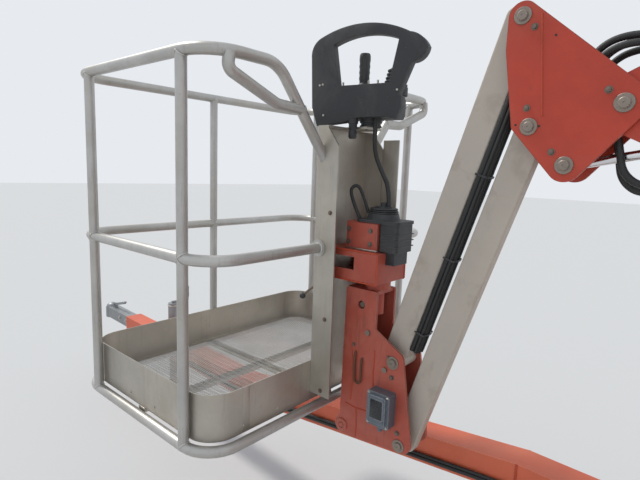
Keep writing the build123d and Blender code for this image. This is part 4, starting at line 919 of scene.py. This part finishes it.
def collars(places):
    """Collars round pins and turned faces on the pins' ends."""
    found = []
    for (x, y, z), way in on_sides(places, 1):
        found += [lathe(COLLAR, (x * PLATE_X, y, z), way),
                  lathe(PIN_FACE, (x * PIN_END, y, z), way, 20)]
    return found


def turned(profile, spots, steps=24):
    """The same turned piece at several spots, each facing its own way."""
    return [lathe(profile, at, way, steps) for at, way in spots]


install("knuckle_collars", collars(KNUCKLE_PINS), KNUCKLE, "pin_steel")
install("bracket_collars", collars(BRACKET_PINS), BRACKET, "pin_steel")
bolt_row("knuckle_keepers", on_sides(KNUCKLE_KEEPERS, PLATE_X), KNUCKLE, KEEPER)
bolt_row("bracket_keepers", on_sides(BRACKET_KEEPERS, PLATE_X), BRACKET, KEEPER)
install("knuckle_plugs", turned(PLUG, on_sides(SMALL_HOLES, PLATE_X), 10), KNUCKLE,
        "hose_rubber")
print("collars:", len(KNUCKLE_PINS + BRACKET_PINS) * 2)

# %% [markdown]
# The knuckle and the bracket are welded from flat plates. A seam runs down the knuckle where
# its nose plate joins, and the bracket's lobes and foot are welded over its column. The lines
# follow the plates' outer faces on both sides.

# %% Welds on knuckle and bracket
SKIN = PLATE_X + 0.0004


def side_lines(*lines):
    """Lines of (y, z) places drawn on both plates."""
    return [[(side * SKIN, y, z) for y, z in line] for line in lines for side in SIDES]


weld_line("knuckle_welds", side_lines([(-0.652, 1.268), (-0.663, 1.150), (-0.676, 1.014)]),
          KNUCKLE, 0.0022)
weld_line("bracket_welds",
          side_lines([(-0.206, 0.250), (-0.204, 0.165), (-0.212, 0.060)],
                     [(-0.090, 0.020), (-0.135, 0.016), (-0.200, 0.022)],
                     [(-0.138, 0.010), (-0.142, -0.050), (-0.140, -0.095)],
                     [(-0.100, 0.285), (-0.118, 0.170), (-0.112, 0.040)]), BRACKET, 0.0024)

# %% [markdown]
# Small hardware on the bracket: a bent rod that locks the platform's swing, a boss for a tie
# bar at the foot, and the end of a shaft in the column's hole.

# %% Bracket hardware
OFF_PLATE = -PLATE_X - 0.009
ROD_END = -PLATE_X + 0.001
FOOT_BOSS = [(11, 0), (24, 0), (24, 4), (22, 6), (12, 6), (11, 2)]
FOOT_PIN = [(0, 0), (9.5, 0), (9.5, 6), (8, 7.4), (0, 7.4)]
SHAFT = [(0, 0), (11.5, 0), (11.5, 8), (10, 9.5), (0, 9.5)]
handle = rod_along([(ROD_END, -0.128, 0.226), (OFF_PLATE, -0.128, 0.224),
                    (OFF_PLATE, -0.128, 0.150), (OFF_PLATE, -0.130, 0.116),
                    (OFF_PLATE, -0.156, 0.116), (OFF_PLATE, -0.157, 0.150),
                    (OFF_PLATE, -0.156, 0.205), (ROD_END, -0.156, 0.208)], 0.0042, 10)
install("lock_handle", handle, BRACKET, "rust_rod")
foot = on_sides([(-0.078, -0.070)], PLATE_X)
install("foot_bosses", turned(FOOT_BOSS, foot) + turned(FOOT_PIN, foot, 18), BRACKET,
        "faded_orange")
install("column_shaft", turned(SHAFT, on_sides([(-0.140, 0.399)], 0.0440)), BRACKET,
        "bolt_steel")
bolt_row("bracket_small_bolts", on_sides([(-0.116, 0.250), (-0.262, 0.243)], PLATE_X), BRACKET,
         0.0048)

# %% [markdown]
# The outlet is a cast box with a spring lid. Its window, hinge, corner screws and cable gland
# are what the eye reads at this size.

# %% Outlet box
BOX_X = -0.110
GLAND = [(0, -4), (11, -4), (11, 4), (8.5, 6), (8.5, 18), (6.5, 24), (0, 24)]
window = rounded_plate((BOX_X - 0.0012, -0.281, 0.040), (BOX_X + 0.001, -0.232, 0.104), 0.001)
install("outlet_window", window, BRACKET, "dark_window")
trim = [rounded_plate((BOX_X - 0.0015, y0, z0), (BOX_X + 0.001, y1, z1), 0.0008)
        for y0, y1, z0, z1 in ((-0.284, -0.279, 0.034, 0.110), (-0.231, -0.226, 0.034, 0.110),
                               (-0.284, -0.226, 0.105, 0.110), (-0.284, -0.226, 0.034, 0.039))]
trim += [rod_along([(BOX_X + 0.0015, y, 0.1165) for y in (-0.280, -0.230)], 0.0030, 10, False),
         lathe(GLAND, (-0.081, -0.256, 0.008), (0, 0, -1), 12)]
install("outlet_trim", trim, BRACKET, "outlet_grey")
bolt_row("outlet_screws", [((BOX_X + 0.008, y, z), (-1, 0, 0)) for y in (-0.293, -0.219)
                           for z in (0.015, 0.121)], BRACKET, 0.0030, "zinc_steel")

# %% [markdown]
# The rotator that swings the platform is a block held by four bolts, with a ribbed bell of
# rubber and a valve housing behind. Its support is welded all round to the mast.

# %% Rotator
BELL_Y = -0.172
BELL_CAP = [(0, 0), (30, 0), (30, 4), (12, 6), (12, 16), (9, 18), (0, 18)]
SUPPORT_X = 0.0885
SUPPORT_Y = (-0.214, -0.110, -0.002)
bolt_row("rotator_bolts", [((side * 0.060, y, z), (side, 0, 0)) for side in SIDES
                           for y in (-0.072, -0.163) for z in (0.615, 0.660)], BASKET, KEEPER)
shoe = rounded_plate((-0.0625, -0.192, 0.5905), (0.0625, -0.060, 0.5965), 0.002)
install("rotator_shoe", shoe, BASKET, "zinc_steel")
bell_ribs = [lathe([(46, 0), (52.5 - 2 * k, 1.5), (52.5 - 2 * k, 4), (44, 5.5)],
                   (0, BELL_Y, 0.7195 + 0.0062 * k), (0, 0, 1), 32) for k in range(3)]
bell_ribs.append(lathe(BELL_CAP, (0, BELL_Y, 0.7378), (0, 0, 1), 24))
install("rotator_bell_ribs", bell_ribs, BASKET, "black_plastic")
install("valve_housing_ribs", [rounded_plate((-0.0555, -0.2635, z), (0.0555, -0.200, z + 0.004),
                                             0.0015) for z in (0.612, 0.632, 0.652)],
        BASKET, "black_plastic")
support_lines = []
for side in SIDES:
    support_lines += [[(side * SUPPORT_X, y, z) for y in SUPPORT_Y] for z in (0.4848, 0.5902)]
    support_lines.append([(side * 0.0880, -0.2152, z) for z in (0.486, 0.589)])
weld_line("support_welds", support_lines, BASKET, 0.0030)

# %% [markdown]
# The mast is a folded channel. A plate widens its right flange beside the console, bolts hold
# the support through its web, a rail foot is welded on each flange, and a small lever with a
# ball knob sits inside the platform.

# %% Mast hardware
LEVER_BOSS = [(0, 0), (12, 0), (12, 6), (7, 10), (0, 10)]
KNOB = [(0, -11.5), (4.5, -10.6), (8.4, -7.8), (10.8, -3.8), (11.5, 0), (10.8, 3.8), (8.4, 7.8),
        (4.5, 10.6), (0, 11.5)]
side_plate = rounded_plate((MAST_X - 0.006, -0.138, 0.620), (MAST_X, -0.0702, 0.975), 0.002)
install("mast_side_plate", side_plate, BASKET, "plate_aluminium")
bolt_row("mast_side_bolts", [((side * MAST_X, y, z), (side, 0, 0)) for side in SIDES
                             for y, z in ((-0.045, 0.715), (-0.038, 0.338), (-0.030, 0.070))],
         BASKET, 0.0056)
bolt_row("mast_web_bolts", [((x, 0.0202, z), (0, 1, 0)) for x in (-0.085, 0.0, 0.085)
                            for z in (0.50, 0.58, 0.66, 0.76)], BASKET, 0.0080, "zinc_steel")
weld_line("rail_foot_welds", [circle_line((side * (MAST_X + 0.0055), 0, MID_RAIL_Z), (1, 0, 0),
                                          0.0182) for side in SIDES],
          BASKET, 0.0030, "weld_bright", "basket_aluminium")
lever = rod_along([(-0.118, 0.012, 0.452), (-0.120, 0.034, 0.444), (-0.132, 0.062, 0.412)],
                  0.0045, 10)
lever_boss = lathe(LEVER_BOSS, (-0.118, 0.020, 0.452), (0, 1, 0), 16)
install("mast_lever", [lever, lever_boss], BASKET, "bolt_steel")
install("mast_lever_knob", lathe(KNOB, (-0.135, 0.070, 0.404), (-0.2, 0.6, -0.7), 18), BASKET,
        "black_plastic")

# %% [markdown]
# Round rails are welded where posts cross them. A ring of beads closes each joint, above and
# below the rail. Rivets hold the toe board to the floor's frame.

# %% Basket welds and rivets
POSTS = [(-RAIL_HX, RAIL_Y - RAIL_CORNER), (-RAIL_HX, RAIL_CORNER), (0.013, RAIL_Y),
         (RAIL_HX, RAIL_CORNER), (RAIL_HX, RAIL_Y - RAIL_CORNER)]
TOE_Y0, TOE_Y1, TOE_X = 0.0205, RAIL_Y - 0.0205, RAIL_HX - 0.0205
RIVET_Z = 0.045
joint_rings = []
for x, y in POSTS:
    across_y = abs(y - RAIL_Y) < 0.01
    for z, gap in ((0.0, 1), (MID_RAIL_Z, -1), (MID_RAIL_Z, 1), (TOP_RAIL_Z, -1)):
        ring = []
        for c, s in around(24, 1):
            dx, dy = TUBE_R * c, TUBE_R * s
            off = dy if across_y else dx
            saddle = math.sqrt(max(TUBE_R * TUBE_R - off * off, 0.0)) * 0.86 + 0.0026
            ring.append((x + dx, y + dy, z + gap * saddle))
        joint_rings.append(ring)
weld_line("post_welds", joint_rings, BASKET, 0.0024, "weld_bright", "basket_aluminium")
rivets = []
for x in [k * 0.15 - 0.45 for k in range(7)]:
    if abs(x) > MAST_X + 0.02:
        rivets.append(((x, TOE_Y0, RIVET_Z), (0, -1, 0)))
    rivets.append(((x, TOE_Y1, RIVET_Z), (0, 1, 0)))
rivets += on_sides([(y, RIVET_Z) for y in (0.16, 0.32, 0.48, 0.64)], TOE_X)
bolt_row("toe_rivets", rivets, BASKET, 0.0032, "zinc_steel", "basket_aluminium")
laps = [rounded_plate((x, TOE_Y0 - 0.0012, 0.0225), (x + 0.028, TOE_Y0 + 0.001, 0.171), 0.001)
        for x in (-0.452, 0.424)]
install("toe_laps", laps, BASKET, "plate_aluminium")
print("basket joints:", len(joint_rings))

# %% [markdown]
# The platform's console is one moulded guard: a base, two legs and a wide bow over the
# joystick, with a shallow tub for the switches. It stands swivelled on a disc above the mast.
# The guard is drawn once as an outline with a window, given its thickness, and rounded.

# %% Control console
SWIVEL = math.radians(-80)
GUARD_BACK = -0.070
GUARD_T = 0.034
TUB_TOP = 1.142
UP = (0, 0, 1)
CONSOLE = (PLATFORM @ Matrix.Translation((0, -0.100, 0)) @ Matrix.Rotation(SWIVEL, 4, "Z"),
           "platform")


def arc(first, middle, last, steps=10):
    """Points of the circle through three places, without the first."""
    (ax, ay), (bx, by), (cx, cy) = first, middle, last
    twice = 2 * (ax * (by - cy) + bx * (cy - ay) + cx * (ay - by))
    a2, b2, c2 = ax * ax + ay * ay, bx * bx + by * by, cx * cx + cy * cy
    ox = (a2 * (by - cy) + b2 * (cy - ay) + c2 * (ay - by)) / twice
    oy = (a2 * (cx - bx) + b2 * (ax - cx) + c2 * (bx - ax)) / twice
    start = math.atan2(ay - oy, ax - ox)
    sweep = (math.atan2(cy - oy, cx - ox) - start + math.pi) % (2 * math.pi) - math.pi
    radius = math.hypot(ax - ox, ay - oy)
    return [(ox + radius * math.cos(start + sweep * k / steps),
             oy + radius * math.sin(start + sweep * k / steps)) for k in range(1, steps + 1)]


def thick_outline(outer, inner, y0, y1, soft):
    """A flat moulding in X and Z with a window, between two Y places, its edges rounded."""
    work = bmesh.new()
    rims = []
    for outline in (outer, inner):
        corners = [work.verts.new((x, y0, z)) for x, z in outline]
        rims += [work.edges.new((a, b)) for a, b in zip(corners, corners[1:] + corners[:1])]
    bmesh.ops.triangle_fill(work, use_beauty=True, use_dissolve=False, edges=rims)
    grown = bmesh.ops.extrude_face_region(work, geom=work.faces[:])
    moved = [item for item in grown["geom"] if isinstance(item, bmesh.types.BMVert)]
    bmesh.ops.translate(work, vec=(0, y1 - y0, 0), verts=moved)
    bmesh.ops.recalc_face_normals(work, faces=work.faces)
    bevel(work, sharper(work, 50), soft, 3)
    return from_bmesh(work)


outer = [(0.122, 1.104), (0.134, 1.100), (0.134, 1.064), (0.120, 1.026), (0.086, 1.036),
         (-0.016, 1.036), (-0.075, 1.020), (-0.176, 1.010), (-0.198, 1.075), (-0.205, 1.240)]
outer += arc((-0.205, 1.240), (-0.198, 1.278), (-0.170, 1.303))
outer += arc((-0.170, 1.303), (-0.010, 1.334), (0.150, 1.291), 20)
outer += arc((0.150, 1.291), (0.196, 1.266), (0.211, 1.243))
outer += arc((0.211, 1.243), (0.200, 1.217), (0.162, 1.200))
opening = [(-0.098, TUB_TOP), (0.088, TUB_TOP), (0.115, 1.274)]
opening += arc((0.115, 1.274), (0.000, 1.299), (-0.120, 1.276), 16)
guard = thick_outline(outer, opening, GUARD_BACK, GUARD_BACK + GUARD_T, 0.0055)

front = GUARD_BACK + GUARD_T
tub = prism([(front - 0.006, 1.037), (front - 0.006, TUB_TOP - 0.002), (-0.007, TUB_TOP - 0.002),
             (0.076, 1.108), (0.076, 1.050), (0.062, 1.037)], -0.096, 0.170, 0.006)
tub.transform(Matrix.Rotation(math.radians(90), 4, "Z"))
DISC = [(0, 1008), (38, 1008), (38, 1014), (34, 1016), (34, 1022), (38, 1024), (38, 1037.5),
        (0, 1037.5)]
PLUG_BODY = [(0, 968), (12, 968), (14.5, 974), (14.5, 990), (13, 992), (13, 998), (14.5, 1000),
             (14.5, 1016), (17.5, 1018), (17.5, 1037), (0, 1037)]
BOOT = [(0, 1112), (42, 1112), (42, 1138), (38, 1140)]
for k in range(5):
    BOOT += [(40 - 3 * k, 1143 + 12 * k), (40 - 3 * k, 1147 + 12 * k),
             (33 - 3 * k, 1150 + 12 * k)]
BOOT += [(14, 1204), (0, 1208)]
shell = [guard, tub, lathe(DISC, (0, 0, 0), UP, 32),
         lathe(PLUG_BODY, (-0.042, -0.052, 0), UP, 20), lathe(BOOT, (0.078, 0.012, 0), UP, 28)]
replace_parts(install("console_guard", shell, CONSOLE, "black_plastic"), "control_console")
GRIP = [(0, 1100), (31, 1100), (31, 1142), (29, 1148), (22, 1156), (16.5, 1162), (16.5, 1168),
        (18.5, 1178), (17.2, 1188), (19, 1198), (17.6, 1208), (19.4, 1218), (18, 1228),
        (19.6, 1240), (19, 1254), (16.5, 1261), (0, 1263)]
stick = install("joystick_grip", lathe(GRIP, (-0.045, 0.024, 0), UP, 28), CONSOLE,
                "black_plastic")
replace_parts(stick, "joystick")
SCREW = [(0, 0), (4.2, 0), (4, 1.2), (2.8, 2.4), (0, 2.6)]
TOGGLE = [(0, 0), (7.5, 0), (7.5, 3), (4.5, 5), (2.5, 6), (3.5, 20), (3, 23), (0, 24)]
STOP_SMALL = [(0, 0), (10, 0), (10, 10), (18, 12), (18.5, 18), (15, 23), (0, 25)]
screw_spots = [((x, GUARD_BACK + 0.0002, z), (0, -1, 0))
               for x, z in ((-0.168, 1.147), (-0.156, 1.149), (0.118, 1.118), (-0.150, 1.046))]
toggle_spots = [((x, -0.014, TUB_TOP - 0.002), (0, -0.15, 1))
                for x in (-0.105, -0.008, 0.026, 0.112)]
install("console_screws", turned(SCREW, screw_spots, 14), CONSOLE, "zinc_steel")
install("console_toggles", turned(TOGGLE, toggle_spots, 14), CONSOLE, "zinc_steel")
install("console_stop", lathe(STOP_SMALL, (-0.140, 0.022, TUB_TOP - 0.014), (0, 0.34, 1)),
        CONSOLE, "knob_red")
print("console pieces are set")

# %% [markdown]
# The hydraulic and control lines run down the jib as one bundle, strapped under the upper arm,
# and fill most of the gap between the arms. Each line is a tube with its own slight wander;
# straps hold them about every quarter of a metre.

# %% Hoses along the jib
JIB_TOP = Vector((0, -0.605, 1.270))
JIB_FOOT = Vector((0, -0.279, 0.228))
ARM_UP = (JIB_TOP - JIB_FOOT).normalized()
ARM_OUT = Vector((0, ARM_UP.z, -ARM_UP.y))
ARM_SPAN = (JIB_TOP - JIB_FOOT).length
ARM_FACE = -0.021
STRAP_R = 0.0016
BUNDLE = [(-0.020, 0.0098, 0.0088), (-0.001, 0.0098, 0.0092), (0.019, 0.0098, 0.0088),
          (-0.011, 0.0262, 0.0082), (0.008, 0.0266, 0.0088), (0.024, 0.0240, 0.0060),
          (-0.025, 0.0235, 0.0056)]
STRAP = [(-0.0325, -0.0010), (-0.0325, 0.0330), (-0.012, 0.0362), (0.012, 0.0366),
         (0.0325, 0.0320), (0.0325, -0.0010)]


def beside_arm(x, drop, run):
    """A place beside the upper arm's lower face, at a distance along it."""
    return JIB_FOOT + ARM_UP * run + ARM_OUT * (ARM_FACE - drop) + Vector((x, 0, 0))


lines = []
for number, (x, drop, radius) in enumerate(BUNDLE):
    route = []
    for step in range(9):
        run = 0.060 + step * (ARM_SPAN - 0.150) / 8
        sway = 0.0011 * math.sin(1.7 * step + 2.3 * number)
        route.append(beside_arm(x + sway, drop + abs(sway), run))
    lines.append(rod_along(route, radius, 10))
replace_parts(install("jib_lines", lines, JIB, "hose_rubber"), "jib_hoses")
straps = []
for run in (0.130, 0.400, 0.670, 0.930):
    low_ring = [beside_arm(x, drop, run) for x, drop in STRAP]
    high_ring = [spot + ARM_UP * 0.0030 for spot in low_ring]
    straps += [rod_along(loop, STRAP_R, 6, False) for loop in (low_ring, high_ring)]
install("jib_straps", straps, JIB, "black_plastic")
print("lines in the jib:", len(BUNDLE))

# %% [markdown]
# Road tyres carry blocks in four staggered rows between grooves. The carcass is turned from
# one section, a little under full size, and the tree plants each block on it, square to its
# own place on the tread.

# %% Tyres
WHEELS = {name: (Vector((side * 0.750, 0.150, 0.360)), (CHASSIS, "wheel_" + name))
          for name, side in (("left", -1), ("right", 1))}
WALL = [(200, -67.5), (218, -102.5), (280, -112.5), (300, -113.5), (304, -111.5), (320, -104.5),
        (346, -96), (350, -70), (351.5, 0)]
SECTION = WALL + [(radius, -height) for radius, height in reversed(WALL[:-1])]
BLOCKS_ROUND = 54
BLOCK_R = 0.3535
BLOCK_SLANT = 0.35
TREAD_ROWS = (-0.072, -0.024, 0.024, 0.072)
tread = Pattern("tread_blocks", ("width", "depth", "length"))
size = tread.source
stand = tread.add("FunctionNodeAlignRotationToVector", {"Vector": tread.field("aim")}, axis="Z")
facing = tread.add("FunctionNodeAlignRotationToVector",
                   {"Rotation": stand, "Vector": tread.field("along")}, axis="X",
                   pivot_axis="Z")
block_size = tread.add("ShaderNodeCombineXYZ", {"X": size["width"], "Y": size["length"],
                                                "Z": size["depth"]})
tread.plant(tread.add("GeometryNodeMeshCube", {"Size": block_size}), facing)
for name, (middle, site) in WHEELS.items():
    carcass = install("tyre_carcass_" + name, lathe(SECTION, middle, (1, 0, 0), 64), site,
                      "tyre_rubber")
    places, ways = [], []
    for row, beside in enumerate(TREAD_ROWS):
        slant = BLOCK_SLANT * (-1) ** row
        for k in range(BLOCKS_ROUND):
            angle = 2 * math.pi * (k + 0.5 * (row % 2)) / BLOCKS_ROUND
            out = Vector((0, math.cos(angle), math.sin(angle)))
            places.append((middle + Vector((beside, 0, 0)) + out * BLOCK_R, out))
            ways.append(Vector((1, slant * out.z, -slant * out.y)))
    blocks = tread.grow("tyre_tread_" + name, spots_mesh(places, ways), site, "tyre_rubber",
                        "tyre_rubber", width=0.040, length=0.030, depth=0.0115)
    for piece in (carcass, blocks):
        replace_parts(piece, "tyre_" + name)
print("blocks on each tyre:", len(TREAD_ROWS) * BLOCKS_ROUND)

# %% [markdown]
# Each wheel is held by five nuts on its disc, with a pressed cap over the bearing, a grease
# fitting in the cap, and a valve through the rim.

# %% Wheel hardware
NUT_CIRCLE = 0.062
HUB_CAP = [(0, 0), (33, 0), (33, 4), (30, 6), (29.5, 30), (25, 37), (12, 40), (5, 40.5),
           (5, 46), (3, 49), (0, 49)]
VALVE = [(0, 0), (5.5, 0), (4.5, 18), (3.5, 20), (3.5, 34), (0, 35)]
for name, (middle, site) in WHEELS.items():
    out = Vector((math.copysign(1, middle.x), 0, 0))
    face = middle + out * 0.050
    nuts = [(face + Vector((0, NUT_CIRCLE * c, NUT_CIRCLE * s)), out) for c, s in around(5)]
    bolt_row("wheel_nuts_" + name, nuts, site, 0.0110, "zinc_steel", "wheel_steel")
    install("hub_cap_" + name, lathe(HUB_CAP, face, out, 28), site, "wheel_steel")
    stem = lathe(VALVE, middle + out * 0.026 + Vector((0, 0, 0.158)), out, 12)
    install("wheel_valve_" + name, stem, site, "hose_rubber")
print("wheels are dressed")

# %% [markdown]
# The chassis carries its own fasteners: studs round the slewing ring, bolts on the rails and
# on the fenders' arms, and ribbed lenses in the tail lamps. Two dark hose lines in clips run
# along the drawbar's side to the coupler; they are painted shadow, dark pieces laid where the
# drawbar's own shadow falls.

# %% Chassis hardware
FRAME_TOP = 0.700
DECK_TOP = 0.782
STUD_CIRCLE = 0.190
LAMP_X = 0.690
LAMP_Y = -1.478
SHADOW_LOOM_X = -0.064
BAR_SKIN = 0.0564
bolt_row("slew_bolts", [((STUD_CIRCLE * c, STUD_CIRCLE * s, DECK_TOP), UP)
                        for c, s in around(20)], DECK, 0.0100)
bolt_row("rail_bolts", [((side * 0.340, y, FRAME_TOP + 0.0002), UP) for side in SIDES
                        for y in (-0.60, -0.52, 0.52, 0.60)], GROUND, 0.0090)
bolt_row("fender_bolts", [((side * 0.6292, y, z), (side, 0, 0)) for side in SIDES
                          for y in (-0.090, 0.390) for z in (0.598, 0.622)],
         GROUND, 0.0075, "zinc_steel")
for side, name in ((-1, "left"), (1, "right")):
    ribs = [rounded_plate((side * LAMP_X - 0.066, LAMP_Y - 0.0022, 0.531 + 0.0085 * k),
                          (side * LAMP_X + 0.066, LAMP_Y + 0.0010, 0.535 + 0.0085 * k), 0.001)
            for k in range(7)]
    install("lamp_ribs_" + name, ribs, GROUND, "lamp_red")
bolt_row("lamp_screws", [((side * LAMP_X + off, LAMP_Y - 0.0003, 0.560), (0, -1, 0))
                         for side in SIDES for off in (-0.070, 0.070)],
         GROUND, 0.0024, "zinc_steel")
# Painted shadow: dark lines and clips along the drawbar's lower side, where its shadow falls.
SHADOW_LOOM = [(SHADOW_LOOM_X, y, z) for y, z in
        ((1.36, 0.640), (1.80, 0.618), (2.30, 0.622), (2.80, 0.617), (3.22, 0.618),
         (3.62, 0.560), (4.10, 0.498), (4.62, 0.420), (5.10, 0.412), (5.60, 0.416),
         (6.02, 0.412))]
SHADOW_LOOM_CLIPS = ((1.60, 0.629), (2.20, 0.620), (2.75, 0.617), (3.22, 0.616), (4.70, 0.414),
         (5.30, 0.413), (5.90, 0.414))
second_shadow_line = [(x - 0.002, y, z + 0.014) for x, y, z in SHADOW_LOOM]
install("drawbar_shadow_loom", [rod_along(SHADOW_LOOM, 0.0075, 10), rod_along(second_shadow_line, 0.0055, 8)],
        GROUND, "hose_rubber")
install("shadow_loom_clips", [rounded_plate((SHADOW_LOOM_X - 0.011, y - 0.008, z - 0.012),
                                     (-0.0555, y + 0.008, z + 0.024), 0.003)
                       for y, z in SHADOW_LOOM_CLIPS], GROUND, "black_plastic")
bar_lines = [[(side * BAR_SKIN, y, z) for z in ends]
             for y, ends in ((3.250, (0.592, 0.698)), (4.700, (0.388, 0.494)))
             for side in SIDES]
weld_line("drawbar_welds", bar_lines + [circle_line((0, 2.150, FRAME_TOP), UP, 0.0565, 4)],
          GROUND)

# %% [markdown]
# At the tow end the coupler is bolted through the drawbar, its latch has a finger lip, and
# the jack's crank ends in a turned grip. The pivot plates of the outriggers get their pin
# collars.

# %% Coupler, jack and outriggers
CRANK_GRIP = [(0, 0), (7, 0), (7, 6), (12.5, 8), (14, 30), (13, 60), (14, 86), (11, 92), (0, 94)]
JACK_BAND = [(32.2, 0), (35, 1), (35, 9), (32.2, 10)]
EAR_COLLAR = [(0, 0), (24.5, 0), (24.5, 4), (23, 5.5), (16, 6), (15, 8.5), (0, 9)]
EAR_OUT = 0.0440
EAR_PINS = [(0.0, 0.500), (-0.110, 0.643)]
CORNERS = {"front_left": (-1, 1), "front_right": (1, 1), "rear_left": (-1, -1),
           "rear_right": (1, -1)}
bolt_row("coupler_bolts", [((side * 0.0402, y, 0.448), (side, 0, 0)) for side in SIDES
                           for y in (6.140, 6.250)], GROUND, 0.0095, "zinc_steel",
         "coupler_steel")
lip = rounded_plate((-0.013, 6.236, 0.5580), (0.013, 6.262, 0.5660), 0.003)
install("coupler_lip", lip, GROUND, "coupler_steel")
install("jack_grip", lathe(CRANK_GRIP, (0.210, 5.700, 0.6735), UP, 20), GROUND, "black_plastic")
install("jack_bands", turned(JACK_BAND, [((0.100, 5.700, z), UP) for z in (0.305, 0.640)], 28),
        GROUND, "zinc_steel")


def corner_place(sx, sy):
    """The upright plane in which one outrigger works, as a matrix."""
    spot = Matrix.Translation((sx * 0.660, sy * 1.150, 0))
    return CHASSIS @ spot @ Matrix.Rotation(math.atan2(-sx, sy), 4, "Z")


for name, (sx, sy) in CORNERS.items():
    install("outrigger_collars_" + name, turned(EAR_COLLAR, on_sides(EAR_PINS, EAR_OUT)),
            (corner_place(sx, sy), "chassis"), "pin_steel")
print("chassis is dressed")

# %% [markdown]
# The moulded hoods have louvres over the batteries, a latch at each end and a grip along the
# lower edge. The ground controls show a plate, bezels and a red mushroom stop.

# %% Hoods and ground controls
HOOD_OUT = 0.720
SLAT = [(0.0, 0.0), (0.0, 0.018), (0.0022, 0.0175), (0.0080, 0.0030), (0.0085, 0.0)]
CASE_Y = 0.922
CASE_Z = 0.955
CASE_OUT = CASE_Y + 0.002
OUTWARD = (0, 1, 0)
BEZEL = [(9.5, 0), (16.5, 0), (16.5, 4), (14, 6), (9.5, 6)]
STOP = [(0, 0), (12, 0), (12, 12), (20, 15), (20.5, 22), (16, 28), (0, 30)]
KEY = [(0, 0), (13, 0), (13, 5), (9, 8), (0, 8)]


def on_hood(side, near, far, y_range, z_range, radius):
    """A rounded block between two distances from a hood's outer face."""
    low, high = sorted((side * (HOOD_OUT + near), side * (HOOD_OUT + far)))
    return rounded_plate((low, y_range[0], z_range[0]), (high, y_range[1], z_range[1]), radius)


for side, name in ((-1, "left"), (1, "right")):
    hood = (TURNED, "hood_" + name)
    slats = []
    for k in range(7):
        for y0 in (-0.44, 0.14):
            slat = prism(SLAT, y0, y0 + 0.30, 0.0)
            slat.transform(Matrix.Translation((HOOD_OUT - 0.0006, 0, 0.955 + 0.030 * k)))
            if side < 0:
                slat.transform(Matrix.Diagonal((-1, 1, 1, 1)))
                slat.flip_normals()
            slats.append(slat)
    install("hood_louvres_" + name, slats, hood, "hood_cover")
    latches = []
    for y in (-0.560, 0.560):
        latches += [on_hood(side, -0.001, 0.006, (y - 0.032, y + 0.032), (0.842, 0.900), 0.003),
                    on_hood(side, 0.004, 0.011, (y - 0.009, y + 0.009), (0.848, 0.892), 0.003)]
    install("hood_latches_" + name, latches, hood, "black_plastic")
    grip = on_hood(side, -0.001, 0.010, (-0.160, 0.160), (0.805, 0.822), 0.004)
    install("hood_grip_" + name, grip, hood, "black_plastic")
panel = rounded_plate((-0.094, CASE_Y - 0.001, CASE_Z - 0.062),
                      (0.094, CASE_Y + 0.0025, CASE_Z + 0.118), 0.003)
install("ground_panel", panel, DECK, "outlet_grey")
bezel_spots = [((x, CASE_OUT, 1.010), OUTWARD) for x in (-0.060, -0.020, 0.020, 0.060)]
install("ground_bezels", turned(BEZEL, bezel_spots, 20), DECK, "zinc_steel")
install("ground_stop", lathe(STOP, (0.062, CASE_OUT, 0.940), OUTWARD), DECK, "knob_red")
key_parts = [lathe(KEY, (-0.060, CASE_OUT, 0.940), OUTWARD, 20),
             rounded_plate((-0.0625, CASE_Y + 0.008, 0.931), (-0.0575, CASE_Y + 0.018, 0.949),
                           0.001)]
install("ground_key", key_parts, DECK, "zinc_steel")
print("hoods and ground controls are dressed")

# %% [markdown]
# Steel pipes run along the boom's flank in clamp blocks and carry oil to the fly section. The
# front collar holds the slide pads with set screws, and every large pin of the riser and boom
# has its collar.

# %% Boom and riser hardware
BOOM_SIDE = 0.075
BOOM_Z = 1.786
FLANK = BOOM_SIDE + 0.012
CLAMP_PLACES = (-0.50, 0.10, 0.70, 1.30, 1.90, 2.40)
SCREW_ROWS = (2.655, 2.685)
BIG_COLLAR = [(0, 0), (34, 0), (34, 4.5), (31.5, 7), (22, 7.5), (21, 11), (18.5, 12.5), (0, 13)]
CHEEK_OUT = 0.1368
TOWER = {"turntable": [(0.750, 0.930), (0.750, 1.150)],
         "upright": [(-0.950, 0.930), (-0.950, 1.150), (-0.980, 1.786), (-0.880, 1.260)]}
pipes = [rod_along([(FLANK, y, BOOM_Z - 0.045 + 0.022 * k) for y in (-0.60, 2.48)], 0.0060, 10,
                   False) for k in range(3)]
install("boom_pipes", pipes, BOOM, "zinc_steel")
clamps = [rounded_plate((BOOM_SIDE - 0.001, y - 0.018, BOOM_Z - 0.060),
                        (FLANK + 0.010, y + 0.018, BOOM_Z + 0.014), 0.004)
          for y in CLAMP_PLACES]
install("pipe_clamps", clamps, BOOM, "black_plastic")
bolt_row("clamp_bolts", [((FLANK + 0.010, y, z), (1, 0, 0)) for y in CLAMP_PLACES
                         for z in (BOOM_Z - 0.054, BOOM_Z + 0.008)], BOOM, 0.0042, "zinc_steel")
collar_spots = [((side * 0.083, y, BOOM_Z + z), (side, 0, 0)) for side in SIDES
                for y in SCREW_ROWS for z in (-0.075, 0.0, 0.075)]
collar_spots += [((x, y, BOOM_Z + 0.123), UP) for x in (-0.045, 0.045) for y in SCREW_ROWS]
bolt_row("collar_screws", collar_spots, BOOM, 0.0060)
weld_line("collar_welds", [[(side * 0.0762, 2.6395, BOOM_Z + z) for z in (-0.112, 0.0, 0.112)]
                           for side in SIDES], BOOM, 0.0035, "boom_paint", "boom_paint")
for body, places in TOWER.items():
    install("pin_collars_" + body, turned(BIG_COLLAR, on_sides(places, CHEEK_OUT), 28),
            (TURNED, body), "pin_steel")
    keepers = [(y + 0.026, z + 0.034) for y, z in places]
    bolt_row("pin_keepers_" + body, on_sides(keepers, CHEEK_OUT + 0.0004), (TURNED, body),
             0.0065)
print("boom is dressed")
